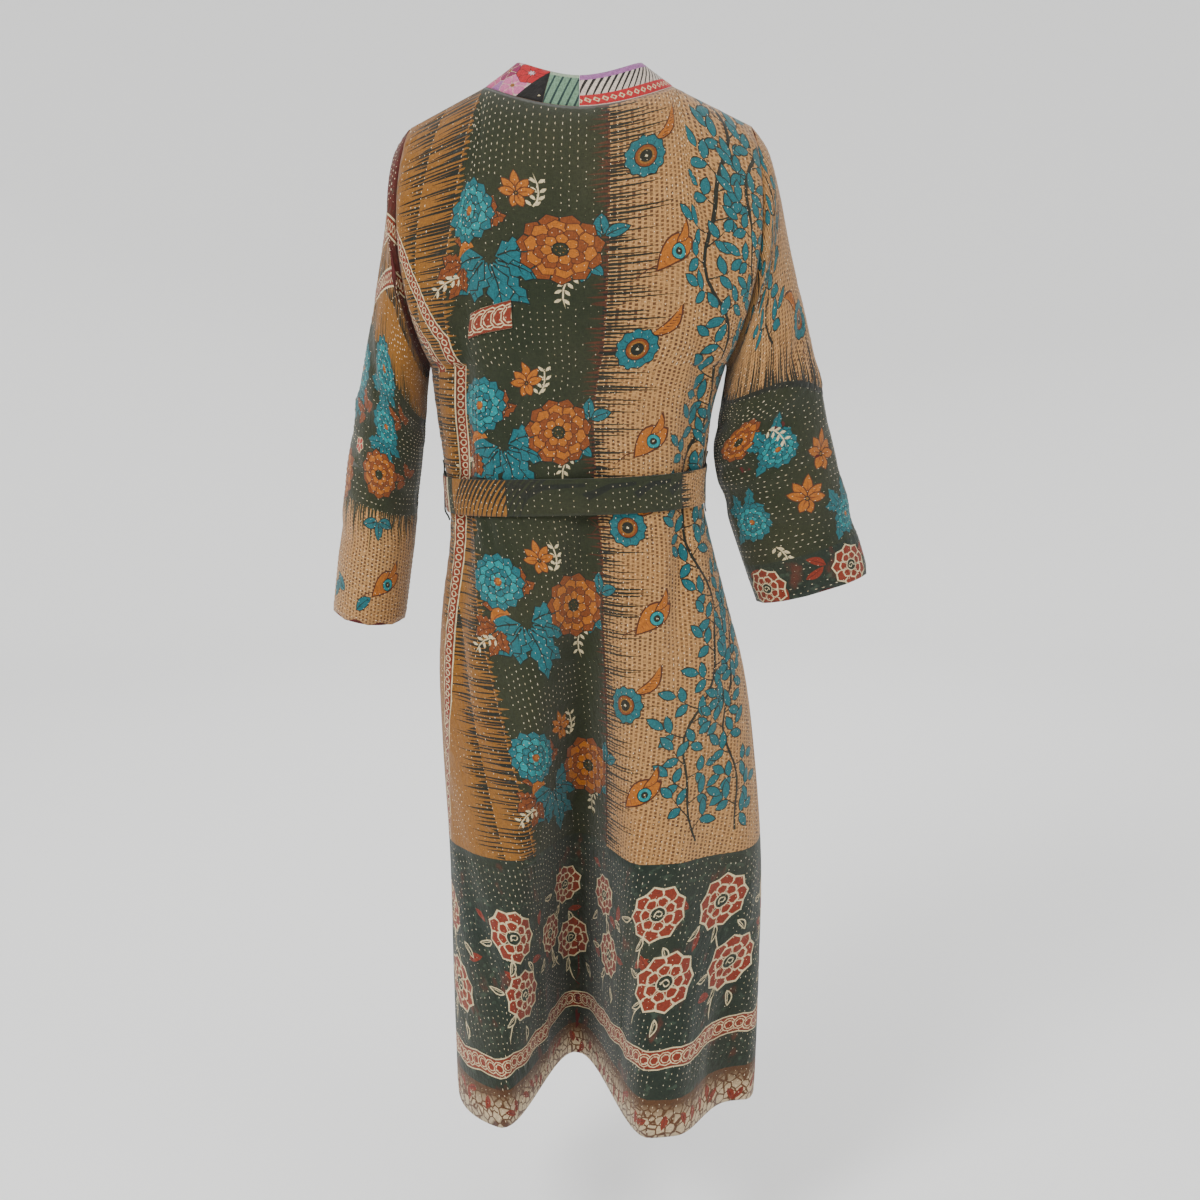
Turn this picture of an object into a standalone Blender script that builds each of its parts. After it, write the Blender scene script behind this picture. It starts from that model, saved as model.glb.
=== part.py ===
"""Kantha coat in its worn form: quilted back, lapped fronts, sleeves, neckband and tie belt.

Metres, +Z up. The back faces -Y, the wearer's right is +X. The origin is between the
shoulders at the base of the neck, where the wearer holds the coat up.
"""
import math

import bmesh
import bpy
import numpy as np
from mathutils import Matrix, Vector

# Cloth: four thin cotton layers sewn together, and the raised rows of quilting
WALL = 0.0022
QUILT_RISE = 0.0007
SEAM_GAP = 0.0003
ROUNDNESS = 2.6

# Heights of the coat, from the neck base down
HEM = -1.215
UNDERARM = -0.292
TIP_LEFT = -0.022
TIP_RIGHT = -0.020
NECK_HEIGHT = 0.0235
NAPE_HEIGHT = -0.003

# Neck opening, seen from above
NECK_CENTRE = -0.0035
NECK_HALF_WIDTH = 0.1095
NECK_BACK_DEPTH = 0.062
BAND_WIDTH = 0.043
BAND_LEAN = math.radians(57)
BAND_LEAN_AT_SHOULDER = math.radians(35)

# Armholes
TIP_REACH_LEFT = -0.200
TIP_REACH_RIGHT = 0.196
ARMHOLE_BULGE = 0.020
ARMHOLE_DEPTH = 0.075

# Lapped fronts
LAP_HEIGHT = -0.46
LAP_REACH = 0.05
LAP_CURVE = 1.15
LAP_STEP = 0.007
LAP_STEP_RUN = 0.040

# Counts of columns, which carry the quilting, and of rows
BACK_COLUMNS = 80
FRONT_COLUMNS = 44
SHOULDER_COLUMNS = 16
NECK_COLUMNS = BACK_COLUMNS - 2 * SHOULDER_COLUMNS
ARMHOLE_STEPS = 6
SLEEVE_SIDES = 2 * ARMHOLE_STEPS
SLEEVE_RINGS = 64
SKIRT_ROWS = (HEM, -1.09, -0.96, -0.84, -0.74, -0.65, -0.57, -0.51, -0.467, -0.441, -0.415, -0.35, UNDERARM)

# Belt
BELT_HEIGHT = 0.043
BELT_CENTRE = -0.441
BELT_TILT = 0.035
BELT_CLEARANCE = 0.0016
BELT_WALL = 0.0020
BELT_SIDES = 88
KNOT_WIDTH = 0.044
KNOT_DEPTH = 0.020
KNOT_HEIGHT = 0.046
KNOT_ROUNDING = 0.008

# Hanging ends of the belt: name, place across at the knot, drift across, length
BELT_ENDS = (
    ("belt_end_left", -0.0125, -0.050, 0.330),
    ("belt_end_right", 0.0125, 0.030, 0.290),
)
BELT_END_ROWS = 13
BELT_END_TOP_HALF_WIDTH = 0.010
BELT_END_SPREAD = 0.010
BELT_END_SPREAD_SHARE = 0.35
BELT_END_FREE_SHARE = 0.55
BELT_END_LIFT = 0.0030
BELT_END_DROP = 0.0004
BELT_END_WAVE = 0.0015
BELT_END_WAVE_ACROSS = 260
BELT_END_WAVE_ALONG = 4

# Belt loops
LOOP_WIDTH = 0.006
LOOP_WALL = 0.0012
LOOP_OVERHANG = 0.015
LOOP_CLEARANCE = 0.0006
LOOP_SEWN_LIFT = 0.0014
LOOP_BEND = 0.004

# Patches of the neckband: name, first and last column of its grid
NECK_PATCHES = (
    ("neckband_floral", 0, 9),
    ("neckband_striped", 9, 12),
    ("neckband_bordered", 12, 24),
)

# Body sections: height, left side, right side, depth of the back, depth of the front
BODY = (
    (-1.215, -0.1630, 0.2190, 0.165, 0.150),
    (-1.050, -0.1660, 0.2220, 0.156, 0.150),
    (-0.900, -0.1680, 0.2220, 0.146, 0.142),
    (-0.750, -0.1750, 0.2090, 0.134, 0.132),
    (-0.660, -0.1770, 0.1955, 0.126, 0.124),
    (-0.580, -0.1715, 0.1740, 0.112, 0.114),
    (-0.500, -0.1615, 0.1530, 0.100, 0.106),
    (-0.440, -0.1635, 0.1420, 0.097, 0.103),
    (-0.400, -0.1690, 0.1480, 0.102, 0.107),
    (-0.345, -0.1760, 0.1545, 0.108, 0.112),
    (-0.292, -0.1810, 0.1700, 0.112, 0.114),
)

# Folds of the back and the front: height, place across, half width, depth into the coat
BACK_FOLDS = {
    "centre valley": (
        (-1.215, -0.012, 0.092, 0.229),
        (-1.050, -0.010, 0.085, 0.180),
        (-0.900, -0.006, 0.078, 0.125),
        (-0.750, -0.002, 0.068, 0.078),
        (-0.620, 0.002, 0.055, 0.044),
        (-0.500, 0.006, 0.045, 0.020),
        (-0.440, 0.008, 0.040, 0.010),
        (-0.340, 0.012, 0.045, 0.008),
        (-0.220, 0.015, 0.050, 0.000),
    ),
    "left crease": (
        (-0.800, -0.150, 0.022, 0.000),
        (-0.700, -0.150, 0.022, 0.008),
        (-0.600, -0.146, 0.020, 0.015),
        (-0.500, -0.139, 0.018, 0.016),
        (-0.440, -0.137, 0.017, 0.014),
        (-0.360, -0.136, 0.018, 0.016),
        (-0.270, -0.135, 0.020, 0.012),
        (-0.170, -0.133, 0.020, 0.000),
    ),
    "right crease": (
        (-0.640, 0.108, 0.020, 0.000),
        (-0.550, 0.114, 0.020, 0.012),
        (-0.440, 0.118, 0.018, 0.012),
        (-0.360, 0.127, 0.020, 0.014),
        (-0.300, 0.137, 0.020, 0.010),
        (-0.220, 0.146, 0.020, 0.000),
    ),
    "right hollow": (
        (-1.215, 0.172, 0.060, 0.052),
        (-1.050, 0.170, 0.060, 0.036),
        (-0.880, 0.160, 0.050, 0.015),
        (-0.750, 0.150, 0.050, 0.000),
    ),
}
FRONT_FOLDS = {
    "left hang": (
        (-1.215, -0.100, 0.060, 0.030),
        (-0.900, -0.095, 0.055, 0.016),
        (-0.600, -0.085, 0.045, 0.005),
        (-0.480, -0.080, 0.040, 0.000),
    ),
    "right hang": (
        (-1.215, 0.120, 0.060, 0.030),
        (-0.900, 0.115, 0.055, 0.018),
        (-0.600, 0.095, 0.045, 0.005),
        (-0.480, 0.085, 0.040, 0.000),
    ),
}

# Sleeve rings below the armhole: inner side x and z, outer side x and z, half depth, forward set
SLEEVE_RIGHT = (
    (0.1716, -0.2990, 0.2145, -0.0470, 0.0775, 0.000),
    (0.1712, -0.3080, 0.2290, -0.0950, 0.0770, 0.000),
    (0.1680, -0.3300, 0.2444, -0.1612, 0.0720, 0.000),
    (0.1610, -0.3680, 0.2639, -0.2370, 0.0660, 0.000),
    (0.1570, -0.4005, 0.2839, -0.3199, 0.0600, 0.002),
    (0.1655, -0.4467, 0.3042, -0.4005, 0.0550, 0.005),
    (0.1875, -0.5145, 0.3269, -0.4737, 0.0520, 0.010),
    (0.2133, -0.5868, 0.3499, -0.5480, 0.0500, 0.012),
)
SLEEVE_LEFT = (
    (0.1835, -0.3000, 0.2165, -0.0480, 0.0790, 0.000),
    (0.1855, -0.3100, 0.2253, -0.0980, 0.0800, 0.000),
    (0.1885, -0.3378, 0.2364, -0.1670, 0.0800, 0.000),
    (0.1900, -0.3618, 0.2502, -0.2405, 0.0790, 0.000),
    (0.1930, -0.3956, 0.2669, -0.3258, 0.0780, 0.000),
    (0.1998, -0.4467, 0.2837, -0.4077, 0.0770, 0.005),
    (0.2088, -0.5207, 0.2961, -0.4959, 0.0750, 0.010),
    (0.2218, -0.6083, 0.3089, -0.5931, 0.0740, 0.014),
)

# Soft sleeve folds: distance down the sleeve, turn in degrees, half length, half turn, depth
SLEEVE_FOLDS = (
    (0.20, 150.0, 0.035, 60.0, 0.006),
    (0.27, 60.0, 0.030, 55.0, 0.005),
    (0.35, 140.0, 0.030, 70.0, 0.007),
    (0.42, 30.0, 0.030, 60.0, 0.004),
    (0.30, 270.0, 0.040, 60.0, 0.005),
)

# Small patch sewn on the back: corners, x and z, round from the lower left one
PATCH_CORNERS = ((-0.128, -0.2675), (-0.129, -0.239), (-0.083, -0.219), (-0.078, -0.247))
PATCH_WALL = 0.0012
PATCH_LIFT = 0.0020

COLOURS = {
    "back_panel": (0.16, 0.13, 0.07, 1),
    "front_left": (0.30, 0.17, 0.07, 1),
    "front_right": (0.33, 0.20, 0.09, 1),
    "sleeve_left": (0.34, 0.20, 0.06, 1),
    "sleeve_right": (0.40, 0.26, 0.13, 1),
    "neckband_floral": (0.35, 0.12, 0.14, 1),
    "neckband_striped": (0.30, 0.40, 0.32, 1),
    "neckband_bordered": (0.45, 0.12, 0.08, 1),
    "front_band_left": (0.40, 0.16, 0.12, 1),
    "front_band_right": (0.38, 0.15, 0.12, 1),
    "belt": (0.08, 0.10, 0.05, 1),
    "belt_knot": (0.10, 0.11, 0.05, 1),
    "belt_end_left": (0.09, 0.10, 0.05, 1),
    "belt_end_right": (0.09, 0.11, 0.06, 1),
    "belt_loop_left": (0.05, 0.05, 0.03, 1),
    "belt_loop_right": (0.05, 0.05, 0.03, 1),
    "back_patch": (0.30, 0.07, 0.04, 1),
}


def ease(low, high, value):
    """Smooth step from 0 at low to 1 at high."""
    part = np.clip((value - low) / (high - low), 0.0, 1.0)
    return part * part * (3 - 2 * part)


def smooth_read(places, values, place):
    """Height of a smooth curve through a table's points, at one place."""
    last = len(places) - 1
    place = min(max(place, places[0]), places[last])
    index = min(int(np.searchsorted(places, place, side="right")) - 1, last - 1)
    span = places[index + 1] - places[index]
    part = (place - places[index]) / span

    def slope(point):
        low = max(point - 1, 0)
        high = min(point + 1, last)
        return (values[high] - values[low]) / (places[high] - places[low])

    rise = 3 * part ** 2 - 2 * part ** 3
    start_bend = part - 2 * part ** 2 + part ** 3
    end_bend = part ** 3 - part ** 2
    level = values[index] * (1 - rise) + values[index + 1] * rise
    return level + span * (start_bend * slope(index) + end_bend * slope(index + 1))


def read_table(rows, height, column):
    """One column of a table whose first column is its height."""
    return smooth_read([row[0] for row in rows], [row[column] for row in rows], height)


def fold_depth(folds, across, height):
    """How far the folds push the cloth into the coat at one point."""
    depth = 0.0
    for rows in folds.values():
        if not rows[0][0] - 1e-9 <= height <= rows[-1][0]:
            continue
        offset = (across - read_table(rows, height, 1)) / read_table(rows, height, 2)
        if abs(offset) < 1:
            depth += max(read_table(rows, height, 3), 0.0) * math.cos(offset * math.pi / 2) ** 2
    return depth


def roundness(offset):
    """Depth of a rounded section, from 0 at its sides to 1 in its middle."""
    return max(1 - abs(offset) ** ROUNDNESS, 0.0) ** (1 / ROUNDNESS)


def armhole_point(side, turn):
    """Point of an armhole: turn 0 is the shoulder tip, 180 degrees the underarm."""
    tip_reach = TIP_REACH_RIGHT if side > 0 else TIP_REACH_LEFT
    tip_height = TIP_RIGHT if side > 0 else TIP_LEFT
    under_reach = BODY[-1][2] if side > 0 else BODY[-1][1]
    rise = (1 + math.cos(turn)) / 2
    across = under_reach + (tip_reach - under_reach) * rise + side * ARMHOLE_BULGE * math.sin(turn) ** 2
    return np.array((across, -ARMHOLE_DEPTH * math.sin(turn), UNDERARM + (tip_height - UNDERARM) * rise))


def top_height(across):
    """Height of the shoulder seams and the neck seam."""
    offset = (across - NECK_CENTRE) / NECK_HALF_WIDTH
    if abs(offset) <= 1:
        return NAPE_HEIGHT + (NECK_HEIGHT - NAPE_HEIGHT) * abs(offset) ** 1.8
    side = 1 if offset > 0 else -1
    tip = armhole_point(side, 0.0)
    neck = NECK_CENTRE + side * NECK_HALF_WIDTH
    return NECK_HEIGHT + (tip[2] - NECK_HEIGHT) * (across - neck) / (tip[0] - neck)


def top_depth(across):
    """How far behind the shoulder seams the neck seam lies."""
    offset = (across - NECK_CENTRE) / NECK_HALF_WIDTH
    return NECK_BACK_DEPTH * math.sqrt(max(1 - offset ** 2, 0.0))


def section(height, back):
    """Dense outline of the body at one height, from the left side to the right side."""
    left = read_table(BODY, height, 1)
    right = read_table(BODY, height, 2)
    depth = read_table(BODY, height, 3 if back else 4)
    folds = BACK_FOLDS if back else FRONT_FOLDS
    points = []
    for turn in np.linspace(-math.pi / 2, math.pi / 2, 401):
        reach = math.copysign(abs(math.sin(turn)) ** (2 / ROUNDNESS), turn)
        across = (left + right) / 2 + (right - left) / 2 * reach
        into = depth * max(math.cos(turn), 0.0) ** (2 / ROUNDNESS)
        into -= fold_depth(folds, across, height) * min(1.0, 2 * math.cos(turn))
        points.append((across, -into if back else into, height))
    return np.array(points)


def share_out(points, count):
    """Spread count + 1 points evenly along a dense line."""
    steps = np.linalg.norm(np.diff(points, axis=0), axis=1)
    length = np.concatenate(([0.0], np.cumsum(steps)))
    places = np.linspace(0.0, length[-1], count + 1)
    return np.stack([np.interp(places, length, points[:, axis]) for axis in range(3)], axis=1)


def upper_depth(across, rise, turn, back):
    """Depth of the chest above the underarm, where rise goes from 0 to 1 at the shoulder seam."""
    left = armhole_point(-1, turn)
    right = armhole_point(1, turn)
    offset = (across - (left[0] + right[0]) / 2) / ((right[0] - left[0]) / 2)
    curl = 1 - math.sqrt(max(1 - rise ** 4, 0.0))
    middle = read_table(BODY, UNDERARM, 3 if back else 4) * (1 - curl)
    if back:
        middle += top_depth(across) * curl
    share = roundness(min(abs(offset), 1.0))
    return ARMHOLE_DEPTH * math.sin(turn) * (1 - share) + middle * share


def armhole_turns():
    return [math.pi * (1 - step / ARMHOLE_STEPS) for step in range(ARMHOLE_STEPS + 1)]


def back_grid():
    """Rows of points of the back panel, from the hem up to the shoulder and neck seams."""
    rows = [share_out(section(height, True), BACK_COLUMNS) for height in SKIRT_ROWS]
    underarm = rows[-1]
    shares = (underarm[:, 0] - underarm[0, 0]) / (underarm[-1, 0] - underarm[0, 0])
    left_tip = armhole_point(-1, 0.0)[0]
    right_tip = armhole_point(1, 0.0)[0]
    turns = np.linspace(-math.pi / 2, math.pi / 2, NECK_COLUMNS + 1)
    neck = NECK_CENTRE + NECK_HALF_WIDTH * np.sin(turns)
    left_shoulder = np.linspace(left_tip, neck[0], SHOULDER_COLUMNS + 1)
    right_shoulder = np.linspace(neck[-1], right_tip, SHOULDER_COLUMNS + 1)
    top = np.concatenate((left_shoulder[:-1], neck, right_shoulder[1:]))
    top_shares = (top - left_tip) / (right_tip - left_tip)
    for turn in armhole_turns()[1:]:
        rise = (1 + math.cos(turn)) / 2
        left = armhole_point(-1, turn)
        right = armhole_point(1, turn)
        row = []
        for share, top_share in zip(shares, top_shares):
            place = share + (top_share - share) * rise
            across = left[0] + (right[0] - left[0]) * place
            crown = top_height(left_tip + (right_tip - left_tip) * place)
            height = UNDERARM + (crown - UNDERARM) * rise
            into = upper_depth(across, rise, turn, True)
            into -= fold_depth(BACK_FOLDS, across, height) * (1 - rise)
            row.append((across, -into, height))
        rows.append(np.array(row))
    grid = np.array(rows)
    grid[:, :, 1] -= SEAM_GAP / 2
    return grid


def lap_seam(side, height):
    """Place across of the seam between a front and its band. Side 1 is the right front."""
    neck = NECK_CENTRE + side * NECK_HALF_WIDTH
    lap = -side * LAP_REACH
    rise = min(max((height - LAP_HEIGHT) / (NECK_HEIGHT - LAP_HEIGHT), 0.0), 1.0)
    return lap + (neck - lap) * rise ** LAP_CURVE


def lap_step(side, across, height):
    """How far the left front steps in to pass under the right one."""
    if side > 0:
        return 0.0
    edge = lap_seam(1, height) - BAND_WIDTH
    return LAP_STEP * float(ease(edge - LAP_STEP_RUN - 0.006, edge - 0.006, across))


def front_rows(side):
    """For each row: height, places across to the band's seam, and a reader of the depth."""
    rows = []
    for height in SKIRT_ROWS:
        outline = section(height, False)
        seam = lap_seam(side, height)
        kept = outline[outline[:, 0] > seam] if side > 0 else outline[outline[:, 0] < seam]
        seam_depth = np.interp(seam, outline[:, 0], outline[:, 1])
        corner = np.array([(seam, seam_depth, height)])
        kept = np.concatenate((corner, kept)) if side > 0 else np.concatenate((kept, corner))
        if side > 0:
            kept = kept[::-1]
        rows.append((share_out(kept, FRONT_COLUMNS), outline))
    return rows


def front_grids(side):
    """Grid of a front panel, from its side seam to its band, and the grid of the band."""
    panel = []
    band = []
    rows = front_rows(side)
    band_steps = np.linspace(0.0, 1.0, 4)
    for height, (row, outline) in zip(SKIRT_ROWS, rows):
        panel.append([(x, y - lap_step(side, x, height), height) for x, y, _ in row])
        strip = []
        for share in band_steps:
            across = row[-1][0] - side * (SEAM_GAP + BAND_WIDTH * share)
            into = np.interp(across, outline[:, 0], outline[:, 1])
            strip.append((across, into - lap_step(side, across, height), height))
        band.append(strip)
    underarm = rows[-1][0]
    shares = (underarm[:, 0] - underarm[0, 0]) / (underarm[-1, 0] - underarm[0, 0])
    for turn in armhole_turns()[1:]:
        rise = (1 + math.cos(turn)) / 2
        edge = armhole_point(side, turn)
        tip = armhole_point(side, 0.0)
        seam_height = UNDERARM + (NECK_HEIGHT - UNDERARM) * rise
        seam = lap_seam(side, seam_height)
        row = []
        for step, share in enumerate(shares):
            place = share + (step / FRONT_COLUMNS - share) * rise
            across = edge[0] + (seam - edge[0]) * place
            crown = tip[2] + (NECK_HEIGHT - tip[2]) * place
            height = UNDERARM + (crown - UNDERARM) * rise
            into = upper_depth(across, rise, turn, False) - lap_step(side, across, height)
            row.append((across, into, height))
        panel.append(row)
        strip = []
        upright = float(ease(0.5, 1.0, rise))
        for share in band_steps:
            reach = SEAM_GAP + BAND_WIDTH * share
            across = seam - side * reach
            into = upper_depth(across, rise, turn, False) - lap_step(side, across, seam_height)
            flat = np.array((across, into, seam_height))
            lean = BAND_LEAN_AT_SHOULDER
            raised = np.array(row[-1]) + reach * np.array((-side * math.cos(lean), 0, math.sin(lean)))
            strip.append(tuple(flat + (raised - flat) * upright))
        band.append(strip)
    panel = np.array(panel)
    band = np.array(band)
    panel[:, :, 1] += SEAM_GAP / 2
    band[:, :, 1] += SEAM_GAP / 2
    return panel, band


def grid_normals(grid, closed):
    """Outward normals of a grid, whose rows go up or down the piece. Closed rows are rings."""
    if closed:
        around = np.roll(grid, -1, axis=1) - np.roll(grid, 1, axis=1)
    else:
        around = np.gradient(grid, axis=1)
    along = np.gradient(grid, axis=0)
    normals = np.cross(around, along)
    return normals / np.linalg.norm(normals, axis=2, keepdims=True)


def unit(vector):
    return vector / np.linalg.norm(vector)


def armhole_normal(own, turn, back):
    """Direction of a wall's edge at the armhole, square to the seam and free near the underarm."""
    square = np.array((0.0, -math.sin(turn) if back else math.sin(turn), math.cos(turn)))
    free = float(ease(math.radians(115), math.radians(180), turn))
    return unit(square + (own - square) * free)


def square_panel_edges(normals, side_columns, shoulder, back):
    """Set the wall's edges square to the side seams, the armholes and the shoulder seams."""
    last = len(SKIRT_ROWS) - 1
    for column, side in side_columns:
        for row in range(last + 1):
            normals[row, column] = unit(np.array((side, 0.0, 0.0)))
        for step, turn in enumerate(armhole_turns()[1:-1]):
            row = last + 1 + step
            normals[row, column] = armhole_normal(normals[row, column], turn, back)
    for column in shoulder:
        normals[-1, column, 1] = 0.0
        normals[-1, column] = unit(normals[-1, column])
    for column, _ in side_columns:
        normals[-1, column] = (0.0, 0.0, 1.0)


def wall_mesh(name, outer, inner, closed):
    """Closed cloth wall between an outer grid and a coarser or equal inner grid."""
    rows, columns = outer.shape[:2]
    inner_rows, inner_columns = inner.shape[:2]
    spans = columns if closed else columns - 1
    inner_spans = inner_columns if closed else inner_columns - 1
    column_step = spans // inner_spans
    row_step = (rows - 1) // (inner_rows - 1)
    points = [tuple(point) for point in outer.reshape(-1, 3)]
    first_inner = len(points)
    points += [tuple(point) for point in inner.reshape(-1, 3)]

    def out(row, column):
        return row * columns + column % columns

    def back(row, column):
        return first_inner + row * inner_columns + column % inner_columns

    faces = []
    for row in range(rows - 1):
        for column in range(spans):
            a, b = out(row, column), out(row, column + 1)
            c, d = out(row + 1, column + 1), out(row + 1, column)
            faces += [(a, b, c), (a, c, d)]
    for row in range(inner_rows - 1):
        for column in range(inner_spans):
            a, b = back(row, column), back(row, column + 1)
            c, d = back(row + 1, column + 1), back(row + 1, column)
            faces += [(a, c, b), (a, d, c)]

    def rim(outer_line, inner_line, step):
        """Strip between an edge of the outer grid and the inner grid's edge."""
        for index in range(len(inner_line) - 1):
            here, ahead = inner_line[index], inner_line[index + 1]
            fine = outer_line[index * step:(index + 1) * step + 1]
            turn_at = step // 2 if step > 1 else 1
            for part in range(step):
                near = here if part < turn_at else ahead
                faces.append((near, fine[part], fine[part + 1]))
                if part + 1 == turn_at:
                    faces.append((here, fine[part + 1], ahead))

    for row, inner_row in ((0, 0), (rows - 1, inner_rows - 1)):
        line = [out(row, column) for column in range(spans + 1)]
        inner_line = [back(inner_row, column) for column in range(inner_spans + 1)]
        rim(line, inner_line, column_step)
    if not closed:
        for column, inner_column in ((0, 0), (columns - 1, inner_columns - 1)):
            line = [out(row, column) for row in range(rows)]
            inner_line = [back(row, inner_column) for row in range(inner_rows)]
            rim(line, inner_line, row_step)
    mesh = bpy.data.meshes.new(name)
    mesh.from_pydata(points, [], faces)
    work = bmesh.new()
    work.from_mesh(mesh)
    bmesh.ops.recalc_face_normals(work, faces=work.faces)
    if work.calc_volume(signed=True) < 0:
        bmesh.ops.reverse_faces(work, faces=work.faces)
    work.to_mesh(mesh)
    work.free()
    return mesh


def finish_piece(name, mesh, collection, roughness=0.9):
    """Make the object, with its own cloth material, in the coat's collection."""
    piece = bpy.data.objects.new(name, mesh)
    collection.objects.link(piece)
    material = bpy.data.materials.new(name + "_cloth")
    material.use_nodes = True
    shader = material.node_tree.nodes["Principled BSDF"]
    shader.inputs["Base Color"].default_value = COLOURS[name]
    shader.inputs["Roughness"].default_value = roughness
    shader.inputs["Metallic"].default_value = 0.0
    mesh.materials.append(material)
    return piece


def quilted_columns(grid, normals):
    """Outer points with every second column raised, as rows of stitching leave them."""
    outer = grid.copy()
    outer[:, 1:-1:2] += normals[:, 1:-1:2] * QUILT_RISE
    return outer


def make_back(collection):
    grid = back_grid()
    normals = grid_normals(grid, False)
    shoulders = list(range(SHOULDER_COLUMNS + 1))
    shoulders += range(BACK_COLUMNS - SHOULDER_COLUMNS, BACK_COLUMNS + 1)
    square_panel_edges(normals, ((0, -1), (BACK_COLUMNS, 1)), shoulders, True)
    outer = quilted_columns(grid, normals)
    inner = (grid - normals * WALL)[:, ::2]
    finish_piece("back_panel", wall_mesh("back_panel", outer, inner, False), collection)
    return grid, normals


def make_front(side, collection):
    panel, band = front_grids(side)
    normals = grid_normals(panel, False)
    band_normals = grid_normals(band, False)
    if normals[2, FRONT_COLUMNS // 2, 1] < 0:
        normals = -normals
    if band_normals[2, 1, 1] < 0:
        band_normals = -band_normals
    square_panel_edges(normals, ((0, side),), range(FRONT_COLUMNS + 1), False)
    outer = quilted_columns(panel, normals)
    inner = (panel - normals * WALL)[:, ::2]
    name = "front_right" if side > 0 else "front_left"
    finish_piece(name, wall_mesh(name, outer, inner, False), collection)
    band_normals[:, 0] = normals[:, -1]
    band_normals[-1, :, 1] = 0.0
    band_normals[-1] /= np.linalg.norm(band_normals[-1], axis=1, keepdims=True)
    name = "front_band_right" if side > 0 else "front_band_left"
    finish_piece(name, wall_mesh(name, band, band - band_normals * WALL, False), collection)


def make_neckband(back, back_normals, collection):
    """Three patches that follow the neck seam from one shoulder to the other."""
    first = SHOULDER_COLUMNS
    columns = range(first, first + NECK_COLUMNS + 1, 2)
    turns = np.linspace(-math.pi / 2, math.pi / 2, NECK_COLUMNS + 1)[::2]
    seam = back[-1, list(columns)]
    edge_normals = back_normals[-1, list(columns)]
    directions = []
    for turn in turns:
        side_share = abs(math.sin(turn)) ** 6
        lean = BAND_LEAN + (BAND_LEAN_AT_SHOULDER - BAND_LEAN) * side_share
        inward = np.array((-math.sin(turn), math.cos(turn), 0.0))
        directions.append(inward * math.cos(lean) + np.array((0, 0, math.sin(lean))))
    directions = np.array(directions)
    directions[0, 1] = 0.0
    directions[-1, 1] = 0.0
    rows = [seam + directions * (SEAM_GAP + BAND_WIDTH * share) for share in (0.0, 0.5, 1.0)]
    grid = np.array(rows)
    normals = grid_normals(grid, False)
    if normals[1, len(turns) // 2, 1] > 0:
        normals = -normals
    normals[0] = edge_normals
    for column in (0, -1):
        normals[:, column, 1] = 0.0
        normals[:, column] /= np.linalg.norm(normals[:, column], axis=1, keepdims=True)
    inner = grid - normals * WALL
    for name, start, end in NECK_PATCHES:
        outer_part = grid[:, start:end + 1].copy()
        inner_part = inner[:, start:end + 1].copy()
        if start > 0:
            step = unit(grid[1, start + 1] - grid[1, start]) * SEAM_GAP
            outer_part[:, 0] += step
            inner_part[:, 0] += step
        finish_piece(name, wall_mesh(name, outer_part, inner_part, False), collection)


def sleeve_fold(distance, turn):
    """Depth of the soft folds of a sleeve at one point."""
    depth = 0.0
    degrees = math.degrees(turn) % 360
    for place, middle, half_length, half_turn, most in SLEEVE_FOLDS:
        off_turn = (degrees - middle + 180) % 360 - 180
        along = (distance - place) / half_length
        round_ = off_turn / half_turn
        if abs(along) < 1 and abs(round_) < 1:
            depth += most * math.cos(along * math.pi / 2) ** 2 * math.cos(round_ * math.pi / 2) ** 2
    return depth


def sleeve_grid(side):
    """Rings of a sleeve from its armhole to its cuff."""
    table = SLEEVE_RIGHT if side > 0 else SLEEVE_LEFT
    tip = armhole_point(side, 0.0)
    under = armhole_point(side, math.pi)
    first = (abs(under[0]), under[2], abs(tip[0]), tip[2], ARMHOLE_DEPTH, 0.0)
    rows = np.array((first,) + table)
    middles = (rows[:, 0:2] + rows[:, 2:4]) / 2
    outer_side = rows[:, 2:4]
    steps = np.linalg.norm(np.diff(middles, axis=0), axis=1)
    steps = (steps + np.linalg.norm(np.diff(outer_side, axis=0), axis=1)) / 2
    places = np.concatenate(([0.0], np.cumsum(steps)))
    turns = [2 * math.pi * step / SLEEVE_SIDES for step in range(SLEEVE_SIDES)]
    grid = []
    for distance in np.linspace(0.0, places[-1], SLEEVE_RINGS + 1):
        reading = [smooth_read(places, rows[:, column], distance) for column in range(6)]
        inner_x, inner_z, outer_x, outer_z, half_depth, forward = reading
        bulge = ARMHOLE_BULGE * (1 - float(ease(0.0, 0.10, distance)))
        ring = []
        for turn in turns:
            middle_x = (inner_x + outer_x) / 2
            middle_z = (inner_z + outer_z) / 2
            fold = 1 - sleeve_fold(distance, turn) / half_depth
            x = middle_x + (outer_x - inner_x) / 2 * math.cos(turn) * fold + bulge * math.sin(turn) ** 2
            z = middle_z + (outer_z - inner_z) / 2 * math.cos(turn) * fold
            y = forward - half_depth * math.sin(turn) * fold
            ring.append((side * (x + SEAM_GAP), y, z))
        grid.append(ring)
    return np.array(grid)


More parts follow.
